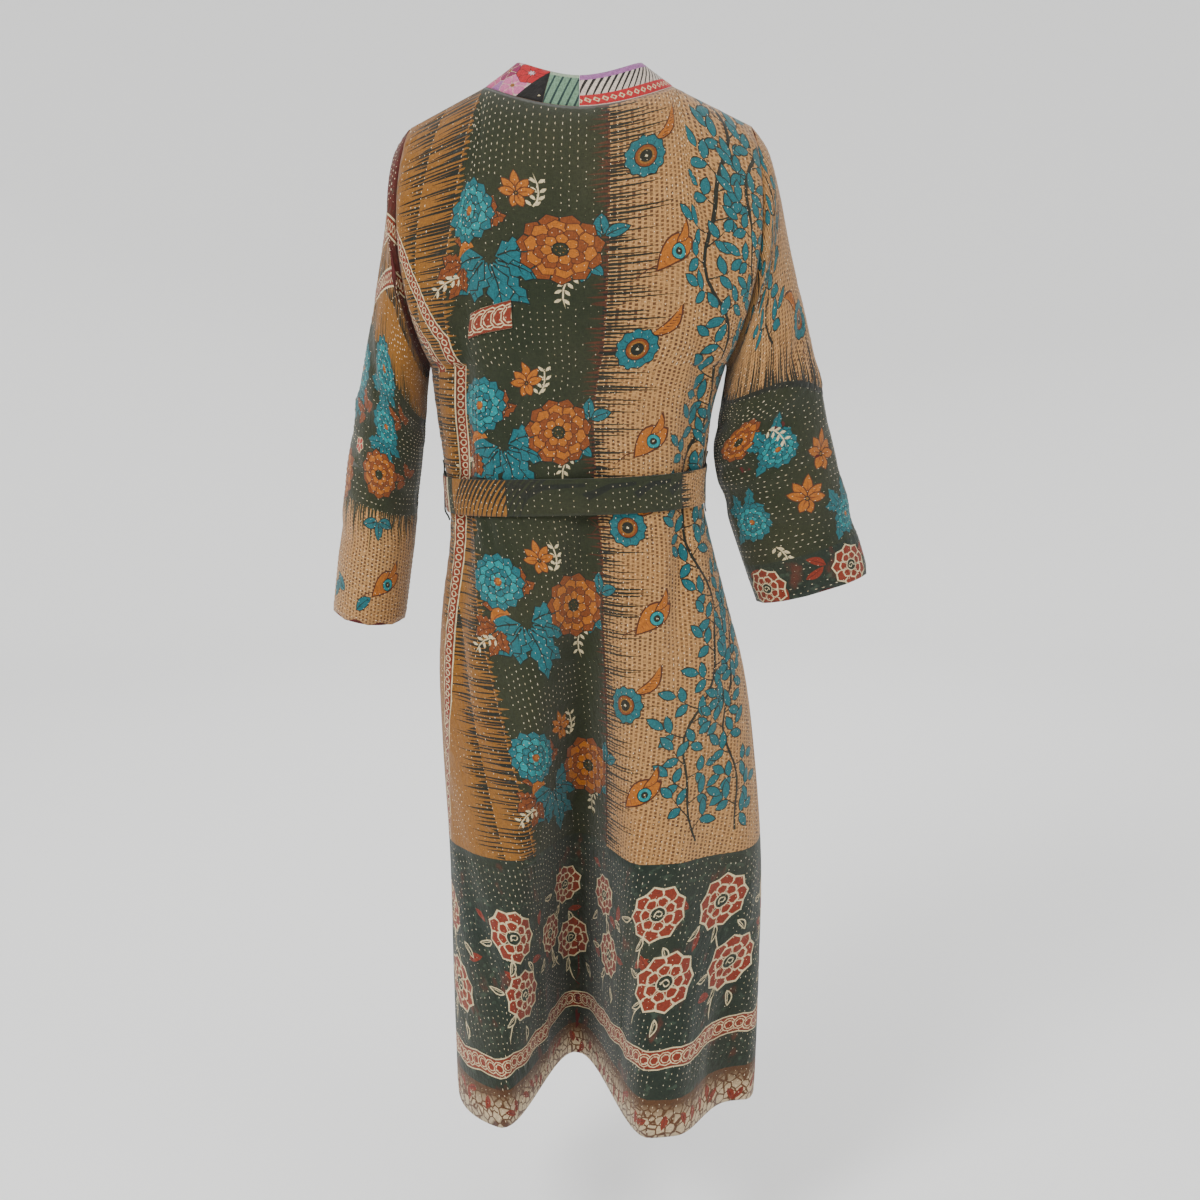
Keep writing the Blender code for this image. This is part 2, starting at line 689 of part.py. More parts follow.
def make_sleeve(side, collection):
    grid = sleeve_grid(side)
    normals = grid_normals(grid, True)
    middle = SLEEVE_RINGS // 2
    outward = grid[middle, 0] - grid[middle].mean(axis=0)
    if np.dot(normals[middle, 0], outward) < 0:
        normals = -normals
    for column in range(SLEEVE_SIDES):
        turn = 2 * math.pi * column / SLEEVE_SIDES
        back = turn <= math.pi
        folded_turn = turn if back else 2 * math.pi - turn
        normals[0, column] = armhole_normal(normals[0, column], folded_turn, back)
    outer = grid.copy()
    outer[1:-1:2] += normals[1:-1:2] * QUILT_RISE
    inner = (grid - normals * WALL)[::2]
    name = "sleeve_right" if side > 0 else "sleeve_left"
    finish_piece(name, wall_mesh(name, outer, inner, True), collection)


def grid_surface(name, grid, closed):
    """Open cloth surface through a grid of points."""
    rows, columns = grid.shape[:2]
    spans = columns if closed else columns - 1
    faces = []
    for row in range(rows - 1):
        for column in range(spans):
            ahead = (column + 1) % columns
            here, above = row * columns, (row + 1) * columns
            faces.append((here + column, here + ahead, above + ahead, above + column))
    mesh = bpy.data.meshes.new(name)
    mesh.from_pydata([tuple(point) for point in grid.reshape(-1, 3)], [], faces)
    return mesh


def strip_piece(name, grid, closed, wall, collection):
    """Strip of cloth with its thickness on the side that its faces look to."""
    piece = finish_piece(name, grid_surface(name, grid, closed), collection)
    solidify = piece.modifiers.new("cloth thickness", "SOLIDIFY")
    solidify.thickness = wall
    solidify.offset = 1.0
    return piece


def belt_middle(across):
    return BELT_CENTRE + BELT_TILT * across


def belt_point(turn, height_share, clearance):
    """Point round the waist, free of the folds. Turn 0 is the right side, 90 degrees the front."""
    right = read_table(BODY, BELT_CENTRE, 2)
    left = read_table(BODY, BELT_CENTRE, 1)
    middle = (left + right) / 2
    height = belt_middle(middle + (right - left) / 2 * math.cos(turn)) + height_share * BELT_HEIGHT / 2
    left = read_table(BODY, height, 1) - clearance
    right = read_table(BODY, height, 2) + clearance
    depth = read_table(BODY, height, 4 if math.sin(turn) > 0 else 3) + clearance
    reach = math.copysign(abs(math.cos(turn)) ** (2 / ROUNDNESS), math.cos(turn))
    into = math.copysign(abs(math.sin(turn)) ** (2 / ROUNDNESS), math.sin(turn))
    return np.array(((left + right) / 2 + (right - left) / 2 * reach, depth * into, height))


def make_belt(collection):
    """The belt's stretch round the waist, its knot and its two hanging ends."""
    turns = [2 * math.pi * step / BELT_SIDES for step in range(BELT_SIDES)]
    clearance = QUILT_RISE + BELT_CLEARANCE
    grid = np.array([[belt_point(turn, share, clearance) for turn in turns] for share in (-1.0, 0.0, 1.0)])
    strip_piece("belt", grid, True, BELT_WALL, collection)
    belt_front = grid[:, :, 1].max() + BELT_WALL
    knot_y = belt_front + SEAM_GAP + KNOT_DEPTH / 2
    knot_z = belt_middle(0.0)
    bpy.ops.mesh.primitive_cube_add(size=1.0, location=(0.0, knot_y, knot_z))
    cube = bpy.context.object
    mesh = cube.data
    mesh.transform(cube.matrix_world)
    bpy.data.objects.remove(cube)
    mesh.transform(scaling_about((0.0, knot_y, knot_z), (KNOT_WIDTH, KNOT_DEPTH, KNOT_HEIGHT)))
    knot = finish_piece("belt_knot", mesh, collection)
    bevel = knot.modifiers.new("rounded cloth", "BEVEL")
    bevel.width = KNOT_ROUNDING
    bevel.segments = 3
    top = knot_z - KNOT_HEIGHT / 2 - BELT_END_DROP
    for name, start, drift, length in BELT_ENDS:
        grid = []
        for share in np.linspace(0.0, 1.0, BELT_END_ROWS):
            height = top - length * share
            spread = float(ease(0.0, BELT_END_SPREAD_SHARE, share))
            half_width = BELT_END_TOP_HALF_WIDTH + BELT_END_SPREAD * spread
            middle = start + drift * share
            row = []
            for across in np.linspace(-half_width, half_width, 5):
                level = read_table(BODY, height, 4) * roundness_at(middle + across, height)
                hang = knot_y - BELT_WALL / 2
                free = float(ease(0.0, BELT_END_FREE_SHARE, share))
                resting = level + SEAM_GAP / 2 + QUILT_RISE + BELT_END_LIFT
                y = max(hang + (resting - hang) * free, resting)
                wave = math.sin(across * BELT_END_WAVE_ACROSS + share * BELT_END_WAVE_ALONG)
                row.append((middle + across, y + BELT_END_WAVE * wave, height))
            grid.append(row)
        strip_piece(name, np.array(grid), False, BELT_WALL, collection)


def roundness_at(across, height):
    left = read_table(BODY, height, 1)
    right = read_table(BODY, height, 2)
    return roundness((across - (left + right) / 2) / ((right - left) / 2))


def scaling_about(centre, sizes):
    """Matrix that scales a mesh about its own centre."""
    move = Matrix.Translation(Vector(centre))
    return move @ Matrix.Diagonal((*sizes, 1.0)) @ move.inverted()


def make_loops(collection):
    """Narrow cloth loops that hold the belt at the side seams."""
    for side, name in ((-1, "belt_loop_left"), (1, "belt_loop_right")):
        turn = 0.0 if side > 0 else math.pi
        column = 2 if side > 0 else 1
        over = BELT_CLEARANCE + QUILT_RISE + BELT_WALL + LOOP_CLEARANCE
        middle = belt_point(turn, 0.0, 0.0)[2]
        half = BELT_HEIGHT / 2
        reach = half + LOOP_OVERHANG
        bend = half + LOOP_BEND
        path = []
        for offset in (-reach, -bend, -half / 2, half / 2, bend, reach):
            height = middle + offset
            body = abs(read_table(BODY, height, column))
            away = over if abs(offset) < reach else LOOP_SEWN_LIFT
            path.append((body + away, height))
        grid = []
        for away, height in path:
            row = []
            for across in (-LOOP_WIDTH / 2, 0.0, LOOP_WIDTH / 2):
                row.append((side * away, across * side, height))
            grid.append(row)
        strip_piece(name, np.array(grid), False, LOOP_WALL, collection)


def make_patch(back, back_normals, collection):
    """Slanted patch made from the back panel's own surface, moved out."""
    lower_left, upper_left, upper_right, lower_right = [np.array(corner) for corner in PATCH_CORNERS]
    grid = []
    for rise in np.linspace(0.0, 1.0, 4):
        row = []
        for share in np.linspace(0.0, 1.0, 9):
            low = lower_left + (lower_right - lower_left) * share
            high = upper_left + (upper_right - upper_left) * share
            across, height = low + (high - low) * rise
            distance = (back[:, :, 0] - across) ** 2 + (back[:, :, 2] - height) ** 2
            nearest = np.unravel_index(np.argmin(distance), distance.shape)
            normal = back_normals[nearest]
            point = np.array((across, panel_depth(back, across, height), height))
            row.append(point + normal * PATCH_LIFT)
        grid.append(row)
    strip_piece("back_patch", np.array(grid), False, PATCH_WALL, collection)


def panel_depth(grid, across, height):
    """The panel's Y at one place, read between its points."""
    levels = []
    for row in grid:
        order = np.argsort(row[:, 0])
        x = row[order, 0]
        levels.append((np.interp(across, x, row[order, 2]), np.interp(across, x, row[order, 1])))
    heights = [level[0] for level in levels]
    depths = [level[1] for level in levels]
    return float(np.interp(height, heights, depths))


def main():
    for thing in list(bpy.data.objects):
        bpy.data.objects.remove(thing)
    collection = bpy.data.collections.new("kantha_coat")
    bpy.context.scene.collection.children.link(collection)
    back, back_normals = make_back(collection)
    make_front(-1, collection)
    make_front(1, collection)
    make_sleeve(-1, collection)
    make_sleeve(1, collection)
    make_neckband(back, back_normals, collection)
    make_belt(collection)
    make_loops(collection)
    make_patch(back, back_normals, collection)


main()
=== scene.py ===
import cmath
import math

import bpy
import numpy as np
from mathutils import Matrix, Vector
from mathutils.geometry import delaunay_2d_cdt


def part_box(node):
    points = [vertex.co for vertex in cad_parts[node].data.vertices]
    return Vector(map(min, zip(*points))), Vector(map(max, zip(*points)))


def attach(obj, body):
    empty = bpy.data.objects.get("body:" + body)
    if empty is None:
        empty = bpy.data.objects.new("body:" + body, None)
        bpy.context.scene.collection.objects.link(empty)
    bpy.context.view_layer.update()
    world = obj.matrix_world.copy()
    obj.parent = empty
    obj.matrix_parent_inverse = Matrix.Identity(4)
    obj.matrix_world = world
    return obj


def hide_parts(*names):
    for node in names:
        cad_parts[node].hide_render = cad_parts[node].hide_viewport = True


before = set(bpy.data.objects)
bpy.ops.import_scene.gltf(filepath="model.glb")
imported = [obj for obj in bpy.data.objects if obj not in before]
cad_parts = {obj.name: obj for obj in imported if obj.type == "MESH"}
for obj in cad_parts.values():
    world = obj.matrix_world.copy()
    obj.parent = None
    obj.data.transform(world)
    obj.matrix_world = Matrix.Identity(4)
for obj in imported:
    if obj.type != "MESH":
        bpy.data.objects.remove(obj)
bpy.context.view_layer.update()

bpy.ops.object.select_all(action="DESELECT")

# Camera, floor and light
# The coat is seen from behind, from a little above its middle. It hangs in its worn form over
# a pale floor that curves up all round, under large soft lamps.
CAMERA_PLACE = (0.020, -2.050, -0.166)
CAMERA_PITCH = math.radians(11.5)
CAMERA_LENS = 51.0
FLOOR_HEIGHT = -1.45
FLOOR_SIZE = 14.0
FLOOR_CELLS = 64
FLOOR_FLAT_REACH = 3.6
FLOOR_CURL = 0.9
FLOOR_CURL_POWER = 1.7

camera = bpy.data.objects.new("camera", bpy.data.cameras.new("camera"))
camera.data.lens = CAMERA_LENS
camera.data.sensor_width = 36.0
camera.location = CAMERA_PLACE
camera.rotation_euler = (math.pi / 2 - CAMERA_PITCH, 0.0, 0.0)
bpy.context.scene.collection.objects.link(camera)
bpy.context.scene.camera = camera

bpy.ops.mesh.primitive_grid_add(x_subdivisions=FLOOR_CELLS, y_subdivisions=FLOOR_CELLS, size=FLOOR_SIZE,
                                location=(0, 0, 0))
floor = bpy.context.object
floor.name = "pale_floor"
for vertex in floor.data.vertices:
    reach = math.hypot(vertex.co.x, vertex.co.y)
    vertex.co.z = FLOOR_HEIGHT + FLOOR_CURL * max(reach - FLOOR_FLAT_REACH, 0.0) ** FLOOR_CURL_POWER
for polygon in floor.data.polygons:
    polygon.use_smooth = True
floor_paint = bpy.data.materials.new("pale_floor_paint")
floor_paint.use_nodes = True
floor_shader = floor_paint.node_tree.nodes["Principled BSDF"]
floor_shader.inputs["Base Color"].default_value = (0.93, 0.93, 0.925, 1)
floor_shader.inputs["Roughness"].default_value = 0.95
floor.data.materials.append(floor_paint)
bpy.ops.object.select_all(action="DESELECT")

LAMPS = (
    # name, place, aim, width, watts
    ("high_left_lamp", (-1.9, -2.6, 1.9), (0.0, 0.0, -0.5), 1.4, 120.0),
    ("right_lamp", (2.6, -2.0, 0.9), (0.0, 0.0, -0.6), 1.8, 20.0),
    ("low_front_lamp", (0.2, -3.2, -0.7), (0.0, 0.0, -0.8), 1.6, 8.0),
    ("far_lamp", (0.4, 3.2, 1.6), (0.0, 0.0, -0.4), 2.2, 60.0),
)
for lamp_name, place, aim, width, watts in LAMPS:
    lamp = bpy.data.objects.new(lamp_name, bpy.data.lights.new(lamp_name, "AREA"))
    lamp.data.shape = "DISK"
    lamp.data.size = width
    lamp.data.energy = watts
    lamp.location = place
    lamp.rotation_euler = (Vector(aim) - Vector(place)).to_track_quat("-Z", "Y").to_euler()
    bpy.context.scene.collection.objects.link(lamp)

world = bpy.data.worlds.new("pale_room")
world.use_nodes = True
world.node_tree.nodes["Background"].inputs["Color"].default_value = (1.0, 1.0, 1.0, 1)
world.node_tree.nodes["Background"].inputs["Strength"].default_value = 1.0
bpy.context.scene.world = world

# Back panel
# One width of old printed cotton in four layers, quilted in straight rows from hem to neck.
# The print runs down the cloth in columns: flowers, peacock eyes and leafy vines, and a border
# at the hem. The panel hangs from the shoulders in two lobes with a deep valley between them.
MM = 0.001
WALL = 0.0022
SEAM_GAP = 0.0003
ROUNDNESS = 2.6
HEM = -1.215
UNDERARM = -0.292
NECK_HEIGHT = 0.0235
NAPE_HEIGHT = -0.003
NECK_CENTRE = -0.0035
NECK_HALF_WIDTH = 0.1095
NECK_BACK_DEPTH = 0.062
SHOULDER_TIPS = {-1: (-0.200, -0.022), 1: (0.196, -0.020)}
ARMHOLE_BULGE = 0.020
ARMHOLE_DEPTH = 0.075
ROW_PITCH = 0.007
QUILT_RISE = 0.0008
QUILT_FADE = 0.006
CREASE_FADE = 0.030
LATTICE_ACROSS = ROW_PITCH / 2
LATTICE_DOWN = 0.022

# Height, left side, right side, depth of the back, depth of the front
BODY = (
    (-1.215, -0.1630, 0.2190, 0.165, 0.150),
    (-1.050, -0.1660, 0.2220, 0.156, 0.150),
    (-0.900, -0.1680, 0.2220, 0.146, 0.142),
    (-0.750, -0.1750, 0.2090, 0.134, 0.132),
    (-0.660, -0.1770, 0.1955, 0.126, 0.124),
    (-0.580, -0.1715, 0.1740, 0.112, 0.114),
    (-0.500, -0.1615, 0.1530, 0.100, 0.106),
    (-0.440, -0.1635, 0.1420, 0.097, 0.103),
    (-0.400, -0.1690, 0.1480, 0.102, 0.107),
    (-0.345, -0.1760, 0.1545, 0.108, 0.112),
    (-0.292, -0.1810, 0.1700, 0.112, 0.114),
)
# Height, place across, half width, depth into the coat
BACK_FOLDS = {
    "centre valley": (
        (-1.215, -0.012, 0.092, 0.229),
        (-1.050, -0.010, 0.085, 0.180),
        (-0.900, -0.006, 0.078, 0.125),
        (-0.750, -0.002, 0.068, 0.078),
        (-0.620, 0.002, 0.055, 0.044),
        (-0.500, 0.006, 0.045, 0.020),
        (-0.440, 0.008, 0.040, 0.010),
        (-0.340, 0.012, 0.045, 0.008),
        (-0.220, 0.015, 0.050, 0.000),
    ),
    "left crease": (
        (-0.800, -0.150, 0.022, 0.000),
        (-0.700, -0.150, 0.022, 0.008),
        (-0.600, -0.146, 0.020, 0.015),
        (-0.500, -0.139, 0.018, 0.016),
        (-0.440, -0.137, 0.017, 0.014),
        (-0.360, -0.136, 0.018, 0.016),
        (-0.270, -0.135, 0.020, 0.012),
        (-0.170, -0.133, 0.020, 0.000),
    ),
    "right crease": (
        (-0.640, 0.108, 0.020, 0.000),
        (-0.550, 0.114, 0.020, 0.012),
        (-0.440, 0.118, 0.018, 0.012),
        (-0.360, 0.127, 0.020, 0.014),
        (-0.300, 0.137, 0.020, 0.010),
        (-0.220, 0.146, 0.020, 0.000),
    ),
    "right hollow": (
        (-1.215, 0.172, 0.060, 0.052),
        (-1.050, 0.170, 0.060, 0.036),
        (-0.880, 0.160, 0.050, 0.015),
        (-0.750, 0.150, 0.050, 0.000),
    ),
}
FRONT_FOLDS = {
    "left hang": (
        (-1.215, -0.100, 0.060, 0.030),
        (-0.900, -0.095, 0.055, 0.016),
        (-0.600, -0.085, 0.045, 0.005),
        (-0.480, -0.080, 0.040, 0.000),
    ),
    "right hang": (
        (-1.215, 0.120, 0.060, 0.030),
        (-0.900, 0.115, 0.055, 0.018),
        (-0.600, 0.095, 0.045, 0.005),
        (-0.480, 0.085, 0.040, 0.000),
    ),
}
SKIRT_LEVELS = np.linspace(HEM, UNDERARM, 84)
ARMHOLE_STEPS = 24
ARMHOLE_TURNS = np.pi * (1 - np.arange(1, ARMHOLE_STEPS + 1) / ARMHOLE_STEPS)
BACK_COLUMNS = 160
SHOULDER_COLUMNS = 32


def ease(low, high, value):
    part = np.clip((value - low) / (high - low), 0.0, 1.0)
    return part * part * (3 - 2 * part)


def smooth_read(places, values, place):
    """Height of a smooth curve through a table's points."""
    places = np.asarray(places, float)
    values = np.asarray(values, float)
    place = np.clip(place, places[0], places[-1])
    index = np.clip(np.searchsorted(places, place, side="right") - 1, 0, len(places) - 2)
    slopes = np.empty(len(places))
    slopes[1:-1] = (values[2:] - values[:-2]) / (places[2:] - places[:-2])
    slopes[0] = (values[1] - values[0]) / (places[1] - places[0])
    slopes[-1] = (values[-1] - values[-2]) / (places[-1] - places[-2])
    span = places[index + 1] - places[index]
    part = (place - places[index]) / span
    rise = 3 * part ** 2 - 2 * part ** 3
    level = values[index] * (1 - rise) + values[index + 1] * rise
    bend = (part - 2 * part ** 2 + part ** 3) * slopes[index] + (part ** 3 - part ** 2) * slopes[index + 1]
    return level + span * bend


def read_table(rows, height, column):
    table = np.array(rows)
    return smooth_read(table[:, 0], table[:, column], height)


def fold_depth(folds, across, height):
    """How far the folds push the cloth into the coat."""
    depth = np.zeros(np.broadcast(across, height).shape)
    for rows in folds.values():
        middle, half_width, most = (read_table(rows, height, column) for column in (1, 2, 3))
        offset = np.clip((across - middle) / half_width, -1.0, 1.0)
        in_span = (height >= rows[0][0] - 1e-9) & (height <= rows[-1][0])
        depth = depth + in_span * np.maximum(most, 0.0) * np.cos(offset * np.pi / 2) ** 2
    return depth


def armhole_point(side, turn):
    """Point of an armhole: turn 0 is the shoulder tip, 180 degrees the underarm."""
    tip_reach, tip_height = SHOULDER_TIPS[side]
    under_reach = BODY[-1][2] if side > 0 else BODY[-1][1]
    rise = (1 + math.cos(turn)) / 2
    across = under_reach + (tip_reach - under_reach) * rise + side * ARMHOLE_BULGE * math.sin(turn) ** 2
    return across, -ARMHOLE_DEPTH * math.sin(turn), UNDERARM + (tip_height - UNDERARM) * rise


def top_height(across):
    """Height of the shoulder seams and the neck seam."""
    offset = (across - NECK_CENTRE) / NECK_HALF_WIDTH
    neck = NAPE_HEIGHT + (NECK_HEIGHT - NAPE_HEIGHT) * np.minimum(abs(offset), 1.0) ** 1.8
    shoulder = neck
    for side in (-1, 1):
        tip_x, _, tip_z = armhole_point(side, 0.0)
        neck_x = NECK_CENTRE + side * NECK_HALF_WIDTH
        slope = NECK_HEIGHT + (tip_z - NECK_HEIGHT) * (across - neck_x) / (tip_x - neck_x)
        shoulder = np.where(side * offset > 1, slope, shoulder)
    return shoulder


def section(height, back):
    """Dense outline of the body at one height, from the left side to the right side."""
    left = read_table(BODY, height, 1)
    right = read_table(BODY, height, 2)
    depth = read_table(BODY, height, 3 if back else 4)
    turns = np.linspace(-np.pi / 2, np.pi / 2, 401)
    reach = np.sign(turns) * abs(np.sin(turns)) ** (2 / ROUNDNESS)
    across = (left + right) / 2 + (right - left) / 2 * reach
    into = depth * np.maximum(np.cos(turns), 0.0) ** (2 / ROUNDNESS)
    folds = fold_depth(BACK_FOLDS if back else FRONT_FOLDS, across, height)
    into -= folds * np.minimum(1.0, 2 * np.cos(turns))
    return np.stack((across, -into if back else into, np.full(turns.shape, height)), axis=1)


def share_out(points, count):
    """Spread count + 1 points evenly along a dense line."""
    steps = np.linalg.norm(np.diff(points, axis=0), axis=1)
    length = np.concatenate(([0.0], np.cumsum(steps)))
    places = np.linspace(0.0, length[-1], count + 1)
    return np.stack([np.interp(places, length, points[:, axis]) for axis in range(3)], axis=1)


def upper_depth(across, rise, turn, back):
    """Depth of the chest above the underarm, where rise goes from 0 to 1 at the shoulder seam."""
    left = armhole_point(-1, turn)[0]
    right = armhole_point(1, turn)[0]
    offset = np.minimum(abs((across - (left + right) / 2) / ((right - left) / 2)), 1.0)
    curl = 1 - math.sqrt(max(1 - rise ** 4, 0.0))
    middle = read_table(BODY, UNDERARM, 3 if back else 4) * (1 - curl)
    if back:
        neck = (across - NECK_CENTRE) / NECK_HALF_WIDTH
        middle = middle + NECK_BACK_DEPTH * np.sqrt(np.maximum(1 - neck ** 2, 0.0)) * curl
    share = (1 - offset ** ROUNDNESS) ** (1 / ROUNDNESS)
    return ARMHOLE_DEPTH * math.sin(turn) * (1 - share) + middle * share


def back_points():
    """Rows of points of the back, from the hem up, and the level of each row."""
    rows = [share_out(section(height, True), BACK_COLUMNS) for height in SKIRT_LEVELS]
    underarm = rows[-1]
    shares = (underarm[:, 0] - underarm[0, 0]) / (underarm[-1, 0] - underarm[0, 0])
    left_tip = armhole_point(-1, 0.0)[0]
    right_tip = armhole_point(1, 0.0)[0]
    turns = np.linspace(-np.pi / 2, np.pi / 2, BACK_COLUMNS - 2 * SHOULDER_COLUMNS + 1)
    neck = NECK_CENTRE + NECK_HALF_WIDTH * np.sin(turns)
    left_shoulder = np.linspace(left_tip, neck[0], SHOULDER_COLUMNS + 1)
    right_shoulder = np.linspace(neck[-1], right_tip, SHOULDER_COLUMNS + 1)
    top = np.concatenate((left_shoulder[:-1], neck, right_shoulder[1:]))
    top_shares = (top - left_tip) / (right_tip - left_tip)
    levels = list(SKIRT_LEVELS)
    for turn in ARMHOLE_TURNS:
        rise = (1 + math.cos(turn)) / 2
        left = armhole_point(-1, turn)[0]
        right = armhole_point(1, turn)[0]
        place = shares + (top_shares - shares) * rise
        across = left + (right - left) * place
        crown = top_height(left_tip + (right_tip - left_tip) * place)
        height = UNDERARM + (crown - UNDERARM) * rise
        into = upper_depth(across, rise, turn, True)
        into = into - fold_depth(BACK_FOLDS, across, height) * (1 - rise)
        rows.append(np.stack((across, -into, height), axis=1))
        levels.append(UNDERARM * (1 - rise))
    points = np.array(rows)
    points[:, :, 1] -= SEAM_GAP / 2
    return points, np.array(levels)


class Surface:
    """A piece of cloth in its worn form, and where each of its points lies on the flat cloth.

    On the flat cloth a point has its place across and its level, which goes up along the piece."""

    def __init__(self, points, levels, start=None, axis=(0.0, 0.0)):
        self.points = points
        self.levels = levels
        lengths = np.linalg.norm(np.diff(points, axis=1), axis=2).sum(axis=1)
        self.start = -lengths / 2 if start is None else start
        self.end = self.start + lengths
        around = np.gradient(points, axis=1)
        along = np.gradient(points, axis=0)
        normals = np.cross(around, along)
        normals /= np.maximum(np.linalg.norm(normals, axis=2, keepdims=True), 1e-12)
        if axis is None:
            out = points - points.mean(axis=1, keepdims=True)
        else:
            out = points - np.array((axis[0], axis[1], 0.0))
            out[:, :, 2] = 0.0
        self.turned = (out * normals).sum() < 0
        self.normals = -normals if self.turned else normals

    def place(self, across, level):
        """Points and normals of the worn cloth at places of the flat cloth."""
        rows, columns = self.points.shape[:2]
        row = np.interp(level, self.levels, np.arange(rows))
        start = np.interp(level, self.levels, self.start)
        end = np.interp(level, self.levels, self.end)
        column = np.clip((across - start) / (end - start), 0.0, 1.0) * (columns - 1)
        low_row = np.clip(row.astype(int), 0, rows - 2)
        low_column = np.clip(column.astype(int), 0, columns - 2)
        up = (row - low_row)[:, None]
        along = (column - low_column)[:, None]
        found = []
        for field in (self.points, self.normals):
            below = field[low_row, low_column] * (1 - along) + field[low_row, low_column + 1] * along
            above = field[low_row + 1, low_column] * (1 - along) + field[low_row + 1, low_column + 1] * along
            found.append(below * (1 - up) + above * up)
        return found[0], found[1] / np.linalg.norm(found[1], axis=1, keepdims=True)

    def edge(self, side, level):
        return np.interp(level, self.levels, self.end if side > 0 else self.start)

    def from_edges(self, across, level):
        """Distance of places of the flat cloth from its nearest edge."""
        sides = np.minimum(across - self.edge(-1, level), self.edge(1, level) - across)
        return np.minimum(sides, np.minimum(level - self.levels[0], self.levels[-1] - level))

    def flat_size(self):
        """The longest row's length and the mean length from the lowest row to the highest."""
        lengths = np.linalg.norm(np.diff(self.points, axis=0), axis=2).sum(axis=0)
        return float((self.end - self.start).max()), float(lengths.mean())


def crease_depth(creases, across, level):
    """Soft troughs, where the depth is above 0, and ridges, where it is below."""
    depth = np.zeros(np.shape(across))
    for place, down, length, width, lean, most in creases:
        turn = math.radians(lean)
        off = across - place
        up = level + down
        along = (off * math.sin(turn) + up * math.cos(turn)) / (length / 2)
        over = (off * math.cos(turn) - up * math.sin(turn)) / (width / 2)
        depth += most * np.exp(-over ** 2 - along ** 2) * (1 - 0.5 * np.tanh(over))
    return depth


def quilted_relief(surface, creases, along_level=False, rise=QUILT_RISE):
    """Reader of how far the quilting and the creases stand off the cloth's form."""
    def relief(across, level):
        rows = level if along_level else across
        ridge = 0.5 - 0.5 * np.cos(2 * np.pi * rows / ROW_PITCH)
        inset = surface.from_edges(across, level)
        quilting = rise * ridge * ease(0.0, QUILT_FADE, inset)
        return quilting - crease_depth(creases, across, level) * ease(0.0, CREASE_FADE, inset)
    return relief


def paint(red, green, blue):
    """Screen colour, 0 to 255, as a linear colour."""
    return tuple((value / 255) ** 2.2 for value in (red, green, blue))


# Kinds of ground that the cloth's material fills in: dashes, mottling and pebbles
PLAIN = (0.0, 0.0, 0.0)
DASHED = (1.0, 0.0, 0.0)
MOTTLED = (0.0, 1.0, 0.0)
PEBBLED = (0.0, 1.0, 1.0)


FINEST_OUTLINE_STEP = 0.0017
LONGEST_OUTLINE_STEP = 0.014


class Print:
    """The shapes printed on a flat piece of cloth, in the order in which they are laid."""

    def __init__(self, ground, kind=PLAIN):
        self.shapes = [(ground, kind, None)]

    def ink(self, colour, outline, kind=PLAIN):
        """Lay a shape, given in millimetres, with neither very short nor very long edges."""
        outline = outline * MM
        kept = [outline[0]]
        for place in outline[1:]:
            from_last, from_first = abs(place - kept[-1]), abs(place - kept[0])
            if from_last > FINEST_OUTLINE_STEP and from_first > FINEST_OUTLINE_STEP / 2:
                kept.append(place)
        if len(kept) > 2:
            ahead = kept[1:] + kept[:1]
            parts = [np.linspace(start, end, int(abs(end - start) / LONGEST_OUTLINE_STEP) + 2)[:-1]
                     for start, end in zip(kept, ahead)]
            self.shapes.append((colour, kind, np.concatenate(parts)))

    def zone(self, colour, left, right, top, bottom, kind=PLAIN):
        """A rectangle of ground, in millimetres across and down."""
        low, high = -1j * bottom, -1j * top
        self.ink(colour, np.array((left + low, right + low, right + high, left + high)), kind)


class Block:
    """A printing block set down on the cloth. Its shapes are complex numbers, in millimetres."""

    def __init__(self, cloth, across, down, turn=0.0, size=1.0, flip=False):
        self.cloth = cloth
        self.middle = complex(across, -down)
        self.turn = cmath.exp(1j * math.radians(turn)) * size
        self.flip = flip

    def ink(self, colour, outline):
        outline = np.asarray(outline)
        if self.flip:
            outline = -outline.conjugate()
        self.cloth.ink(colour, self.middle + outline * self.turn)


def petal(start, tip, width, fullness=1.0, bend=0.0, teeth=0, points=7):
    """Outline of a petal or leaf from its start to its tip. Fullness over 1 sets it fuller at the tip."""
    share = np.linspace(0.0, 1.0, points)
    half = width / 2 * np.sin(np.pi * share ** fullness) ** 0.75
    if teeth:
        half = half * (1 + 0.22 * np.cos(np.pi * np.arange(points)))
    square = 1j * (tip - start) / abs(tip - start)
    middle = start + (tip - start) * share + square * bend * np.sin(np.pi * share)
    return np.concatenate((middle + square * half, (middle - square * half)[-2:0:-1]))


def disc(middle, radius, lobes=0, depth=0.0, points=14):
    turns = np.linspace(0.0, 2 * np.pi, points * max(lobes, 1) // max(lobes // 3, 1), endpoint=False)
    return middle + radius * (1 + depth * np.cos(lobes * turns)) * np.exp(1j * turns)


def stroke(path, start_width, end_width):
    """A brush line that gets thinner or wider along a path."""
    path = np.asarray(path, complex)
    ahead = np.gradient(path)
    half = np.linspace(start_width, end_width, len(path)) / 2 * 1j * ahead / abs(ahead)
    return np.concatenate((path + half, (path - half)[::-1]))


def curve(start, middle, end, points=7):
    share = np.linspace(0.0, 1.0, points)
    return start * (1 - share) ** 2 + 2 * middle * share * (1 - share) + end * share ** 2


